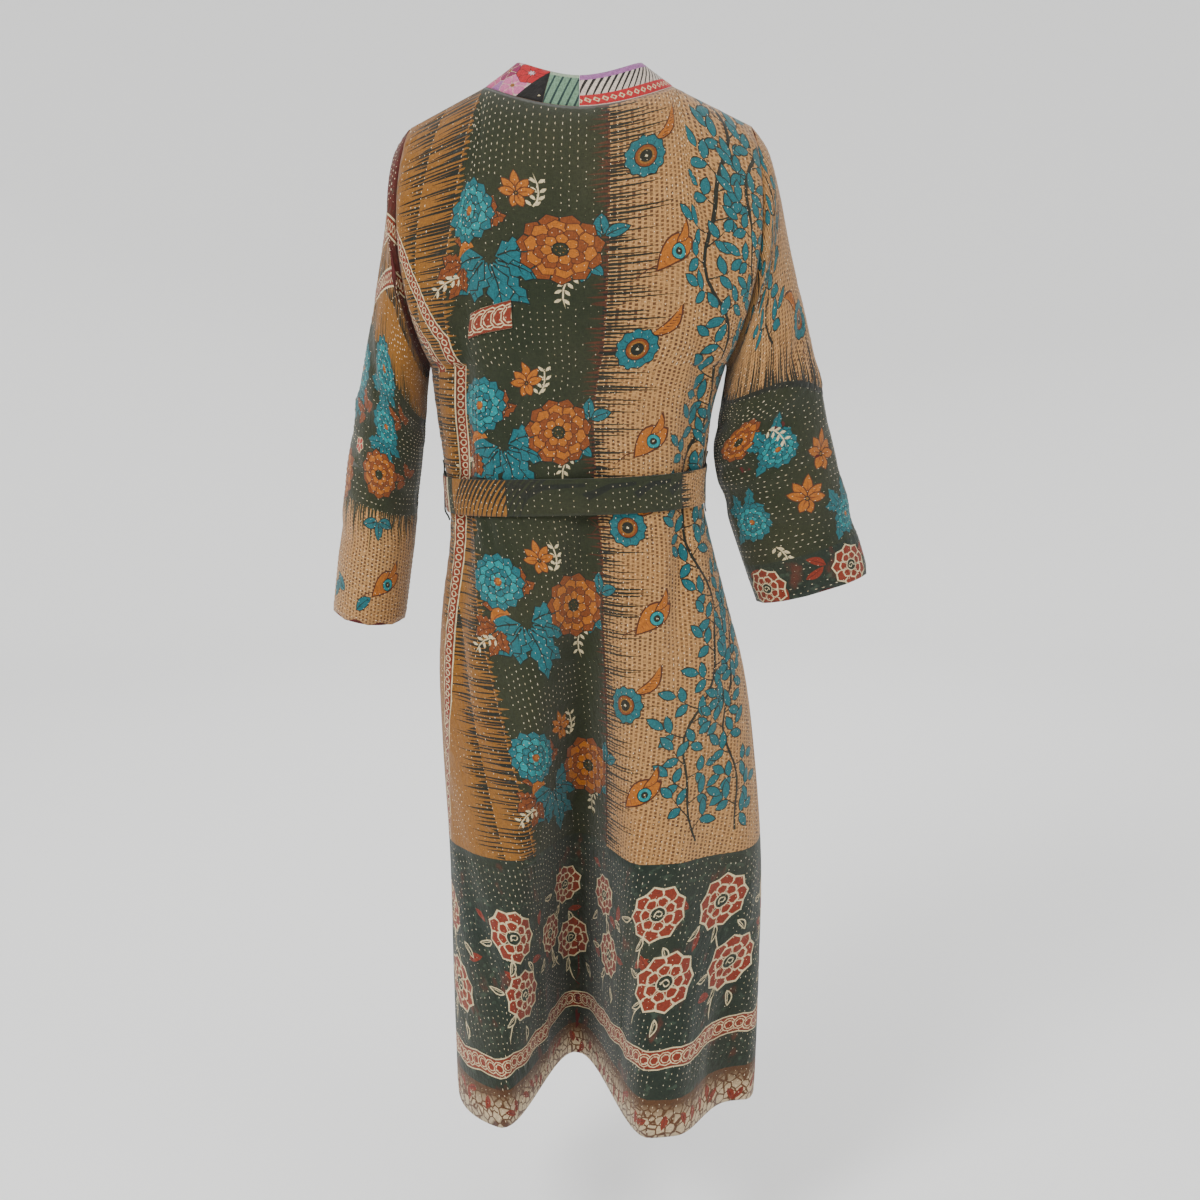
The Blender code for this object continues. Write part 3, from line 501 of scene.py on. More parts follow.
OLIVE = paint(38, 46, 20)
TAN = paint(204, 152, 92)
MUSTARD = paint(152, 98, 28)
INK = paint(18, 28, 18)
TEAL = paint(0, 106, 114)
TEAL_LIGHT = paint(6, 144, 148)
TEAL_DARK = paint(0, 66, 74)
ORANGE = paint(184, 104, 18)
ORANGE_DARK = paint(134, 66, 12)
BROWN = paint(84, 40, 14)
CREAM = paint(236, 216, 168)
BORDER_GREEN = paint(26, 42, 30)
RUST = paint(138, 44, 18)
RUST_DARK = paint(94, 26, 16)


def petal_ring(block, count, inner, outer, width, fill, edge, turn=0.0, fullness=1.6, teeth=0):
    for place in range(count):
        way = cmath.exp(1j * (math.radians(turn) + 2 * math.pi * place / count))
        block.ink(edge, petal(inner * way, (outer + 0.9) * way, width + 1.8, fullness, teeth=teeth, points=6))
        block.ink(fill, petal((inner + 1) * way, outer * way, width, fullness, teeth=teeth, points=6))


def teal_flower(block):
    petal_ring(block, 13, 8, 29, 13, TEAL, INK)
    petal_ring(block, 11, 5, 22, 11, TEAL_LIGHT, INK, 14)
    petal_ring(block, 8, 3, 15, 9.5, TEAL, INK, 5)
    petal_ring(block, 6, 1, 9, 7, TEAL_LIGHT, INK, 20)
    block.ink(ORANGE_DARK, disc(0, 4.4))
    block.ink(ORANGE, disc(0.6 + 0.6j, 3.0, points=8))


def veined_leaf(block, start, tip, width, fill, vein, bend=0.0, veins=3, teeth=1):
    way = (tip - start) / abs(tip - start)
    block.ink(INK, petal(start - way, tip + 1.4 * way, width + 2.4, 0.85, bend, teeth, 9))
    block.ink(fill, petal(start, tip, width, 0.85, bend, teeth, 9))
    square = 1j * way

    def on_midrib(share):
        return start + (tip - start) * share + square * bend * math.sin(math.pi * share)

    block.ink(vein, stroke([on_midrib(share) for share in (0.05, 0.35, 0.65, 0.95)], 1.5, 0.6))
    for place in range(veins):
        root = on_midrib(0.22 + 0.56 * place / max(veins - 1, 1))
        for side in (-1, 1):
            side_tip = root + way * width * 0.34 + side * square * width * 0.33
            block.ink(vein, stroke([root, side_tip], 1.0, 0.4))


def leaf_fan(block, turns, fill=TEAL, vein=INK, length=44, width=17):
    """Veined leaves spread like a hand from one stem."""
    for place, turn in enumerate(turns):
        way = cmath.exp(1j * math.radians(turn))
        reach = length * (0.86 + 0.14 * (place % 3))
        veined_leaf(block, 5 * way, reach * way, width, fill, vein, bend=3.0 * (-1) ** place)


def orange_flower(block):
    petal_ring(block, 11, 9, 34, 16, ORANGE_DARK, INK, teeth=1, fullness=1.4)
    petal_ring(block, 10, 7, 28, 14, ORANGE, BROWN, 16, 1.4, teeth=1)
    petal_ring(block, 8, 5, 21, 12, ORANGE_DARK, BROWN, 4, 1.4)
    petal_ring(block, 7, 3, 15, 9, ORANGE, BROWN, 22, 1.4)
    block.ink(INK, disc(0, 7))
    block.ink(OLIVE, disc(0, 5.6))
    for place in range(6):
        block.ink(MUSTARD, disc(3.4 * cmath.exp(1j * place * math.pi / 3), 0.9, points=5))


def lily_bud(block):
    for turn, length in ((90, 24), (48, 20), (132, 20), (10, 18), (170, 18), (250, 15), (290, 15)):
        way = cmath.exp(1j * math.radians(turn))
        block.ink(BROWN, petal(0, (length + 1.2) * way, 11, 0.9))
        block.ink(ORANGE, petal(way, length * way, 8.6, 0.9))
        block.ink(ORANGE_DARK, stroke([2 * way, length * 0.7 * way], 2.2, 0.5))
    block.ink(INK, disc(0, 2.6, points=8))
    block.ink(MUSTARD, disc(0, 1.5, points=6))


def half_moon(block):
    outer = disc(0, 13, points=16)[:9]
    block.ink(ORANGE, np.concatenate((outer, curve(-13, 4j, 13)[1:-1])))
    block.ink(ORANGE_DARK, stroke(curve(-10 + 1j, 8j, 10 + 1j), 1.6, 1.0))


def cream_spray(block):
    stem = curve(0, 14 + 5j, 18 + 32j, 5)
    block.ink(CREAM, stroke(stem, 1.6, 1.4))
    for root in stem[:-1]:
        for side in (-1, 1):
            way = cmath.exp(1j * math.radians(62 + side * 48))
            block.ink(CREAM, petal(root + 1.5 * way, root + 9.5 * way, 3.8, points=6))


def teal_sprig(block, turns=(95, 20, 165)):
    for turn in turns:
        way = cmath.exp(1j * math.radians(turn))
        veined_leaf(block, 2 * way, 25 * way, 13, TEAL, INK, 1.5, 2, 0)


def peacock_eye(block):
    block.ink(BROWN, stroke(curve(-52 + 4j, -34 - 6j, -20 + 1j), 0.8, 2.4))
    for side in (-1, 1):
        block.ink(BROWN, stroke(curve(-40 + 0j, -44 + 5j * side, -50 + 10j * side), 1.6, 0.8))
    block.ink(BROWN, petal(10 + 14j, 47 + 53j, 15, 0.9, -9))
    block.ink(ORANGE, petal(12 + 16j, 44 + 50j, 11, 0.9, -9))
    for place in range(8):
        root = 14 + 18j + (26 + 28j) * place / 8 + (4 - 4j)
        block.ink(BROWN, stroke([root, root + (9 + 1j)], 1.2, 0.4))
    block.ink(INK, disc(0, 24, 11, 0.06, 22))
    block.ink(TEAL, disc(0, 22.5, 11, 0.06, 22))
    for place in range(11):
        way = cmath.exp(2j * math.pi * (place + 0.5) / 11)
        block.ink(TEAL_DARK, stroke([14 * way, 21 * way], 1.6, 0.5))
    block.ink(INK, disc(0, 13.6))
    block.ink(ORANGE_DARK, disc(0, 12.4))
    block.ink(MUSTARD, disc(0, 9.6))
    block.ink(INK, disc(0, 7.4))
    block.ink(CREAM, disc(0, 2.0, points=7))


def paisley(block):
    block.ink(BROWN, stroke(curve(-58 - 20j, -40 - 2j, -16 - 8j), 0.8, 2.6))
    block.ink(BROWN, petal(-30 - 14j, 30 + 16j, 36, 1.25, 5, points=9))
    block.ink(ORANGE, petal(-27 - 12j, 27 + 14j, 31, 1.25, 5, points=9))
    block.ink(BROWN, petal(2 + 12j, 26 + 40j, 13, 0.9, -6))
    block.ink(ORANGE, petal(4 + 13j, 23 + 37j, 9.5, 0.9, -6))
    for place in range(6):
        root = -18 - 3j + place * (6.4 + 4.2j)
        block.ink(ORANGE_DARK, stroke([root, root + (3 - 9j)], 1.4, 0.5))
    block.ink(INK, disc(4 + 2j, 10.6))
    block.ink(TEAL_LIGHT, disc(4 + 2j, 9.2))
    block.ink(INK, disc(4 + 2j, 5.0, points=9))
    block.ink(CREAM, disc(4 + 2j, 1.7, points=6))


def vine(cloth, across, top, bottom, sway, seed, reach):
    """A dark stem that sways down the cloth, with twigs of pointed teal leaves on both sides."""
    draw = np.random.default_rng(seed)
    down = np.arange(top, bottom, 16.0)
    stem = across + sway * np.sin(down / 46.0 + seed) + 5 * np.sin(down / 17.0) - 1j * down
    cloth.ink(INK, stroke(stem, 4.6, 3.0))
    for place in range(1, len(stem) - 1):
        root = stem[place]
        side = -1 if place % 2 else 1
        turn = 90 - side * draw.uniform(38, 72)
        way = cmath.exp(1j * math.radians(turn))
        length = reach * draw.uniform(0.65, 1.1)
        bent = root + way * length * 0.5 - 2j * draw.uniform(1, 3)
        twig = curve(root, bent, root + way * length)
        cloth.ink(INK, stroke(twig, 1.8, 1.0))
        for tip, off in ((twig[-1], 0), (twig[4], 62 * side), (twig[3], -70 * side)):
            lean = cmath.exp(1j * math.radians(turn + off + draw.uniform(-16, 16)))
            size = draw.uniform(17, 24)
            cloth.ink(INK, petal(tip - lean, tip + (size + 1.6) * lean, 12.5, 0.9, points=6))
            cloth.ink(TEAL, petal(tip, tip + size * lean, 9.8, 0.9, points=6))


def streaks(cloth, edge, top, bottom, longest, colour, seed, pitch, upright=False):
    """Tapered brush streaks from an edge of the ground, straight or a function of the place along it.

    Longest is below 0 where they run left or up."""
    draw = np.random.default_rng(seed)
    for down in np.arange(top, bottom, pitch):
        place = down + draw.uniform(-0.8, 0.8)
        length = longest * draw.uniform(0.25, 1.0) ** 1.3
        base = (edge(place) if callable(edge) else edge) - math.copysign(2.0, longest)
        drift = draw.uniform(-1.5, 1.5)
        thick = draw.uniform(2.0, 4.0)
        if upright:
            path = (place - 1j * base, place + drift - 1j * (base + length * 0.6),
                    place + drift * 2 - 1j * (base + length))
        else:
            path = (base - 1j * place, base + length * 0.6 - 1j * (place - drift * 0.5),
                    base + length - 1j * (place - drift))
        cloth.ink(colour, stroke(path, thick, 0.3))


def chain_strip(cloth, path, width, pitch):
    """A narrow border of linked rings between two cream edges, along a path in millimetres."""
    path = np.asarray(path, complex)
    cloth.ink(CREAM, stroke(path, width, width))
    cloth.ink(RUST_DARK, stroke(path, width - 3.2, width - 3.2))
    cloth.ink(RUST, stroke(path, width - 4.6, width - 4.6))
    lengths = np.concatenate(([0.0], np.cumsum(abs(np.diff(path)))))
    ring = (width - 7.0) / 2
    for distance in np.arange(pitch / 2, lengths[-1], pitch):
        middle = np.interp(distance, lengths, path.real) + 1j * np.interp(distance, lengths, path.imag)
        cloth.ink(CREAM, disc(middle, ring, points=9))
        cloth.ink(RUST, disc(middle, ring - 1.3, points=9))
        if ring > 4:
            cloth.ink(CREAM, disc(middle, ring - 3.0, points=7))
            cloth.ink(RUST, disc(middle, ring - 4.1, points=6))


def border_flower(block):
    for count, reach, width in ((9, 36, 23), (7, 23, 17)):
        for place in range(count):
            way = cmath.exp(2j * math.pi * place / count)
            block.ink(CREAM, petal(5 * way, reach * way, width, 1.9, points=6))
            block.ink(RUST, petal(6 * way, (reach - 2.3) * way, width - 4.6, 1.9, points=6))
    block.ink(CREAM, disc(0, 10.2))
    block.ink(BORDER_GREEN, disc(0, 8.6))
    block.ink(CREAM, stroke(curve(-5 - 1j, 1 + 9j, 5 - 1j), 1.7, 1.4))
    block.ink(CREAM, stroke(curve(5 - 1j, 1 - 8j, -2 + 1j), 1.4, 1.2))


def cream_leaf(block):
    block.ink(CREAM, petal(0, 32, 11.52, 0.9, 3, points=8))
    block.ink(BORDER_GREEN, petal(3, 28.5, 7.32, 0.9, 3, points=7))
    block.ink(CREAM, stroke(curve(2, 16 + 3j, 26), 1.4, 0.7))


def rust_leaf(block):
    block.ink(RUST, petal(0, 26, 10.92, 0.9, 2, points=6))
    block.ink(RUST_DARK, stroke(curve(2, 13 + 2j, 22), 1.3, 0.6))


def hem_border(cloth, left, right, flowers, band_left, band_right, seed):
    """The border along the hem: flowers on dark green, a chain strip, and pebbles below it.

    The chain strip slants from band_left to band_right, which are millimetres down."""
    draw = np.random.default_rng(seed)
    cloth.zone(BORDER_GREEN, left, right, 874, 1230, MOTTLED)
    for across in np.arange(left + 8, right - 8, 27.0):
        down = draw.uniform(900, 1065)
        rust_leaf(Block(cloth, across, down, draw.uniform(0, 360), draw.uniform(0.7, 1.15)))
    for across, down, turn, _ in flowers:
        stem = Block(cloth, across, down, turn + 200)
        stem.ink(CREAM, stroke(curve(0, 40 + 12j, 58 + 40j, 9), 2.6, 1.4))
        for lean, reach in ((20, 30), (-35, 36), (64, 44)):
            middle = stem.middle + reach * cmath.exp(1j * math.radians(lean)) * stem.turn
            cream_leaf(Block(cloth, middle.real, -middle.imag, turn + 200 + lean, 0.72))
    for across, down, turn, size in flowers:
        border_flower(Block(cloth, across, down, turn, size))
    share = np.linspace(0.0, 1.0, 60)
    across = left + (right - left) * share
    down = band_left + (band_right - band_left) * share + 2.2 * np.sin(across / 9.0)
    cloth.zone(MUSTARD, left, right, 1166, 1230, PEBBLED)
    for place in np.arange(left + 12, right - 12, 21.0):
        rust_leaf(Block(cloth, place, draw.uniform(1172, 1196), draw.uniform(200, 340), 0.8))
    chain_strip(cloth, across - 1j * down, 25.0, 13.0)


def flower_column(cloth, across, flip=False):
    """Teal and orange flowers with their leaves, printed again and again down the cloth."""
    side = -1 if flip else 1
    for repeat in range(REPEATS):
        def block(off, down, turn=0.0, size=1.0):
            return Block(cloth, across + side * off, down + REPEAT * repeat, turn, size, flip)
        leaf_fan(block(-4, 176, 0, 1.35), (-20, -50, -80, -110, -140, -165, 15))
        leaf_fan(block(-16, 150, 0, 1.15), (35, 70, 110, 150, 190), ORANGE_DARK, BROWN, 36, 13)
        leaf_fan(block(-38, 182), (160, 200, 240, 280), ORANGE_DARK, BROWN, 36, 14)
        half_moon(block(-34, 172, 20))
        cream_spray(block(-46, 196, 150))
        cream_spray(block(38, 116, 30))
        cream_spray(block(72, 190, 200))
        teal_sprig(block(99, 146))
        teal_sprig(block(84, 176, 200, 0.8), (60, 120))
        lily_bud(block(22, 104, 8))
        teal_flower(block(-32, 130, 0, 1.15))
        orange_flower(block(62, 160, 10, 1.15))


def eye_column(cloth, across, flip=False):
    """Peacock eyes and paisleys, one under the other."""
    side = -1 if flip else 1
    for repeat in range(REPEATS):
        peacock_eye(Block(cloth, across, 66 + REPEAT * repeat, 0, 0.92, flip))
        paisley(Block(cloth, across + side * 32, 174 + REPEAT * repeat, 12, 0.84, flip))


REPEAT = 206
REPEATS = 4
TAN_EDGE = 26
MUSTARD_EDGE = -138
BACK_FLOWERS = (
    # across, down, turn, size
    (-318, 1051, 10, 0.95), (-200, 970, 30, 1.0), (-199, 1052, 0, 1.0), (-318, 960, 50, 0.85),
    (-110, 1000, 60, 0.8), (-64, 944, 15, 0.8), (-54, 1030, 40, 0.9), (23, 944, 70, 0.8),
    (50, 1020, 20, 0.9), (140, 935, 30, 1.0), (174, 1020, 5, 1.1), (234, 935, 55, 1.0),
    (282, 1020, 25, 1.05), (356, 950, 12, 0.95), (392, 1030, 44, 0.95),
)

back_print = Print(OLIVE)
back_print.zone(TAN, TAN_EDGE, 460, -10, 876, DASHED)
back_print.zone(MUSTARD, -460, MUSTARD_EDGE, -10, 884)
streaks(back_print, TAN_EDGE, 2, 874, 84, INK, 3, 4.0)
streaks(back_print, TAN_EDGE, 3, 870, -22, BROWN, 4, 5.0)
streaks(back_print, MUSTARD_EDGE, 4, 884, -92, INK, 5, 3.8)
streaks(back_print, MUSTARD_EDGE - 46, 4, 884, -46, INK, 15, 4.8)
streaks(back_print, MUSTARD_EDGE, 4, 878, 16, MUSTARD, 6, 5.4)
vine(back_print, 160, 4, 862, 22, 1, 34)
vine(back_print, 212, 30, 862, 16, 2, 26)
eye_column(back_print, 62)
flower_column(back_print, -76)
STRIP_PATHS = (
    ((-226, 130), (-203, 166), (-146, 262), (-142, 420), (-162, 480), (-224, 690), (-326, 946)),
    ((-246, 190), (-176, 268), (-172, 300)),
)
for strip in STRIP_PATHS:
    chain_strip(back_print, [complex(across, -down) for across, down in strip], 15.0, 9.0)
hem_border(back_print, -450, 450, BACK_FLOWERS, 1146, 1102, 5)

# Across, down, length, width, lean in degrees, depth
BACK_CREASES = [
    (-0.150, 0.150, 0.150, 0.030, 24, 0.004),
    (-0.120, 0.240, 0.120, 0.026, 38, 0.003),
    (0.150, 0.130, 0.150, 0.030, -22, 0.004),
    (0.120, 0.250, 0.130, 0.028, -36, 0.003),
    (-0.060, 0.340, 0.150, 0.030, 12, 0.003),
    (0.060, 0.350, 0.150, 0.028, -8, 0.003),
    (0.000, 0.110, 0.160, 0.040, 4, 0.002),
    (-0.090, 0.620, 0.260, 0.034, 4, -0.003),
    (0.105, 0.640, 0.280, 0.034, -5, -0.003),
    (-0.180, 0.720, 0.300, 0.030, -4, 0.004),
    (0.190, 0.760, 0.300, 0.036, 5, 0.004),
    (-0.240, 1.000, 0.340, 0.040, -3, 0.005),
    (0.120, 1.040, 0.300, 0.040, 4, 0.004),
    (0.300, 1.080, 0.300, 0.040, 2, 0.005),
    (-0.140, 1.120, 0.220, 0.034, 0, -0.004),
    (0.220, 1.130, 0.200, 0.034, 3, -0.004),
]
BELT_DOWN = 0.441


def waist_gathers(left, right, seed):
    """Short uneven puckers that the belt draws in above and under itself."""
    draw = np.random.default_rng(seed)
    gathers = []
    place = left
    while place < right:
        for side in (-1, 1):
            length = draw.uniform(0.045, 0.095)
            down = BELT_DOWN + side * (0.016 + length * 0.42)
            width = draw.uniform(0.007, 0.012)
            gathers.append((place, down, length, width, draw.uniform(-9, 9), draw.uniform(0.0012, 0.0030)))
        place += draw.uniform(0.018, 0.036)
    return gathers


BACK_CREASES += waist_gathers(-0.29, 0.29, 11)


def add_nodes(tree, kind, inputs=None, **settings):
    """A node with its settings, whose inputs are values or other nodes' outputs."""
    made = tree.nodes.new(kind)
    for key, value in settings.items():
        setattr(made, key, value)
    for key, value in (inputs or {}).items():
        if isinstance(value, bpy.types.NodeSocket):
            tree.links.new(value, made.inputs[key])
        else:
            made.inputs[key].default_value = value
    return made


def calculate(tree, operation, first, second=0.0, third=0.0):
    made = add_nodes(tree, "ShaderNodeMath", {0: first, 1: second, 2: third}, operation=operation)
    return made.outputs[0]


def mix_colours(tree, share, first, second, way="MIX"):
    inputs = {0: share, 6: first, 7: second}
    return add_nodes(tree, "ShaderNodeMix", inputs, data_type="RGBA", blend_type=way).outputs[2]


def noise(tree, vector, scale, detail=3.0, stretch=None):
    if stretch:
        vector = add_nodes(tree, "ShaderNodeMapping", {"Vector": vector, "Scale": stretch}).outputs[0]
    made = add_nodes(tree, "ShaderNodeTexNoise", {"Vector": vector, "Scale": scale, "Detail": detail})
    return made.outputs["Fac"]


def smooth_mask(tree, value, low, high):
    made = add_nodes(tree, "ShaderNodeMapRange", {"Value": value, "From Min": low, "From Max": high})
    return made.outputs[0]


def opaque(colour):
    return (*colour, 1.0)


DASH_COLUMN_PITCH = 0.0058
DASH_STEP = 0.0044
DASH_STAGGER = 0.37
PEBBLES_FULL_LEVEL = -1.196
PEBBLES_TOP_LEVEL = -1.172


def make_cotton_group():
    """Worn cotton: the grounds' fine pattern, fading, thread grain, painted shade that darkens the whole
    cloth, and the pucker of the stitches.
    """
    group = bpy.data.node_groups.new("worn_printed_cotton", "ShaderNodeTree")
    for name, way, kind in (
            ("Flat", "INPUT", "Vector"), ("Print", "INPUT", "Color"), ("Ground", "INPUT", "Color"),
            ("Colour", "OUTPUT", "Color"), ("Height", "OUTPUT", "Float")):
        group.interface.new_socket(name, in_out=way, socket_type="NodeSocket" + kind)
    start = group.nodes.new("NodeGroupInput")
    end = group.nodes.new("NodeGroupOutput")
    flat = start.outputs["Flat"]
    ground = add_nodes(group, "ShaderNodeSeparateColor", {0: start.outputs["Ground"]})
    dashed, mottled, pebbled = ground.outputs[0], ground.outputs[1], ground.outputs[2]
    place = add_nodes(group, "ShaderNodeSeparateXYZ", {0: flat})
    across, level = place.outputs[0], place.outputs[1]

    def tint(colour, mask, kind, strength, ink):
        share = calculate(group, "MULTIPLY", calculate(group, "MULTIPLY", mask, kind), strength)
        return mix_colours(group, share, colour, opaque(ink))

    column = calculate(group, "DIVIDE", across, DASH_COLUMN_PITCH)
    in_column = calculate(group, "PINGPONG", column, 0.5)
    step = calculate(group, "MULTIPLY_ADD", calculate(group, "FLOOR", column), DASH_STAGGER,
                     calculate(group, "DIVIDE", level, DASH_STEP))
    in_step = calculate(group, "PINGPONG", step, 0.5)
    dash = calculate(group, "MULTIPLY", smooth_mask(group, in_column, 0.17, 0.27),
                     smooth_mask(group, in_step, 0.12, 0.22))
    broken = smooth_mask(group, noise(group, flat, 160.0), 0.30, 0.50)
    dash = calculate(group, "MULTIPLY", dash, broken)
    colour = tint(start.outputs["Print"], dash, dashed, 0.95, paint(84, 44, 18))
    warm = smooth_mask(group, noise(group, flat, 14.0), 0.40, 0.75)
    colour = tint(colour, warm, dashed, 0.35, paint(190, 132, 72))
    blots = smooth_mask(group, noise(group, flat, 95.0, 5.0), 0.56, 0.66)
    colour = tint(colour, blots, mottled, 0.5, paint(74, 92, 74))
    stains = smooth_mask(group, noise(group, flat, 38.0, 4.0, (1.0, 0.6, 1.0)), 0.60, 0.68)
    colour = tint(colour, stains, mottled, 0.55, paint(110, 44, 26))
    pebble_map = add_nodes(group, "ShaderNodeTexVoronoi", {"Vector": flat, "Scale": 95.0},
                           feature="DISTANCE_TO_EDGE")
    stones = smooth_mask(group, pebble_map.outputs["Distance"], 0.05, 0.12)
    low = smooth_mask(group, level, PEBBLES_TOP_LEVEL, PEBBLES_FULL_LEVEL)
    pebble = mix_colours(group, stones, opaque(paint(92, 50, 24)), opaque(paint(226, 202, 160)))
    hem_ground = mix_colours(group, low, opaque(paint(84, 52, 26)), pebble)
    colour = mix_colours(group, calculate(group, "MULTIPLY", pebbled, 0.9), colour, hem_ground)
    fade = smooth_mask(group, noise(group, flat, 6.0, 6.0), 0.35, 0.75)
    faded = calculate(group, "MULTIPLY", fade, 0.07)
    colour = mix_colours(group, faded, colour, opaque(paint(170, 150, 110)))
    grain = noise(group, flat, 900.0, 2.0, (1.0, 0.25, 1.0))
    cross_grain = noise(group, flat, 900.0, 2.0, (0.25, 1.0, 1.0))
    thread = calculate(group, "ADD", grain, cross_grain)
    # Painted shade: the colour is multiplied by 0.40 to 0.76. This darkens the whole cloth to stand in for
    # dimmer light, and is a little lighter where the thread grain noise is high.
    worn = smooth_mask(group, thread, 0.75, 1.30)
    shade = calculate(group, "MULTIPLY_ADD", worn, 0.36, 0.40)
    grey = add_nodes(group, "ShaderNodeCombineColor", {0: shade, 1: shade, 2: shade}).outputs[0]
    shaded = mix_colours(group, 1.0, colour, grey, "MULTIPLY")
    pucker = noise(group, flat, 210.0, 2.0, (1.0, 0.55, 1.0))
    height = calculate(group, "MULTIPLY_ADD", pucker, 1.0, calculate(group, "MULTIPLY", thread, 0.22))
    group.links.new(shaded, end.inputs["Colour"])
    group.links.new(height, end.inputs["Height"])
    return group


cotton_group = make_cotton_group()
PUCKER_DEPTH = 0.0011


def start_material(name):
    """A new material, its node tree and its shader."""
    material = bpy.data.materials.new(name)
    material.use_nodes = True
    return material, material.node_tree, material.node_tree.nodes["Principled BSDF"]


def cotton_material(name):
    """Quilted printed cotton. The print is in the cloth's own colour attribute."""
    material, tree, shader = start_material(name)
    shader.inputs["Roughness"].default_value = 0.86
    shader.inputs["Specular IOR Level"].default_value = 0.25
    shader.inputs["Sheen Weight"].default_value = 0.12
    shader.inputs["Sheen Roughness"].default_value = 0.6
    cotton = tree.nodes.new("ShaderNodeGroup")
    cotton.node_tree = cotton_group
    flat = add_nodes(tree, "ShaderNodeUVMap", uv_map="flat")
    tree.links.new(flat.outputs[0], cotton.inputs["Flat"])
    for attribute, socket in (("print", "Print"), ("ground", "Ground")):
        read = add_nodes(tree, "ShaderNodeAttribute", attribute_name=attribute)
        tree.links.new(read.outputs["Color"], cotton.inputs[socket])
    bump = add_nodes(tree, "ShaderNodeBump", {
        "Height": cotton.outputs["Height"], "Distance": PUCKER_DEPTH, "Strength": 0.9})
    tree.links.new(cotton.outputs["Colour"], shader.inputs["Base Color"])
    tree.links.new(bump.outputs[0], shader.inputs["Normal"])
    return material


def lining_material(name, colour, dark):
    """The inner layer: another old cotton, plain but for its wear."""
    material, tree, shader = start_material(name)
    shader.inputs["Roughness"].default_value = 0.9
    shader.inputs["Specular IOR Level"].default_value = 0.2
    place = add_nodes(tree, "ShaderNodeTexCoord").outputs["Object"]
    worn = smooth_mask(tree, noise(tree, place, 26.0, 5.0), 0.35, 0.70)
    weave = noise(tree, place, 700.0, 2.0)
    tree.links.new(mix_colours(tree, worn, opaque(colour), opaque(dark)), shader.inputs["Base Color"])
    bump = add_nodes(tree, "ShaderNodeBump", {"Height": weave, "Distance": 0.0004, "Strength": 0.7})
    tree.links.new(bump.outputs[0], shader.inputs["Normal"])
    return material


def thread_material(name, colour, dark):
    """Cotton sewing thread, its colour a little uneven from stitch to stitch."""
    material, tree, shader = start_material(name)
    shader.inputs["Roughness"].default_value = 0.7
    place = add_nodes(tree, "ShaderNodeTexCoord").outputs["Object"]
    uneven = smooth_mask(tree, noise(tree, place, 120.0, 2.0), 0.35, 0.65)
    tree.links.new(mix_colours(tree, uneven, opaque(colour), opaque(dark)), shader.inputs["Base Color"])
    return material


def outline_ring(surface, step_across, step_down):
    """Places round the flat cloth's edge, anticlockwise from the lower left corner."""
    def spread(start, end, step):
        return np.linspace(start, end, max(int(round(abs(end - start) / step)), 2) + 1)[:-1]

    low, high = surface.levels[0], surface.levels[-1]
    hem = spread(surface.edge(-1, low), surface.edge(1, low), step_across)
    rise = spread(low, high, step_down)
    top = spread(surface.edge(1, high), surface.edge(-1, high), step_across)
    fall = spread(high, low, step_down)
    right, left = surface.edge(1, rise) + 1j * rise, surface.edge(-1, fall) + 1j * fall
    return np.concatenate((hem + 1j * low, right, top + 1j * high, left))


def round_share(surface, across, level):
    """How far round the edge, 0 to 4, each of these edge places lies."""
    low, high = surface.levels[0], surface.levels[-1]
    left, right = surface.edge(-1, level), surface.edge(1, level)
    width = np.maximum(right - left, 1e-9)
    part = (across - left) / width
    rise = (level - low) / (high - low)
    gaps = np.stack((abs(level - low), abs(across - right), abs(level - high), abs(across - left)))
    shares = np.stack((part, 1 + rise, 3 - part, 4 - rise))
    share = np.take_along_axis(shares, gaps.argmin(axis=0)[None], axis=0)[0]
    return np.where(share >= 4 - 1e-9, 0.0, share)


def within(places, outline):
    """Which places lie inside an outline, by how often its edges pass to their right."""
    inside = np.zeros(len(places), bool)
    for here, ahead in zip(outline, np.roll(outline, -1)):
        spans = (here.imag > places.imag) != (ahead.imag > places.imag)
        rise = ahead.imag - here.imag
        if rise:
            cross = here.real + (places.imag - here.imag) * (ahead.real - here.real) / rise
            inside ^= spans & (places.real < cross)
    return inside


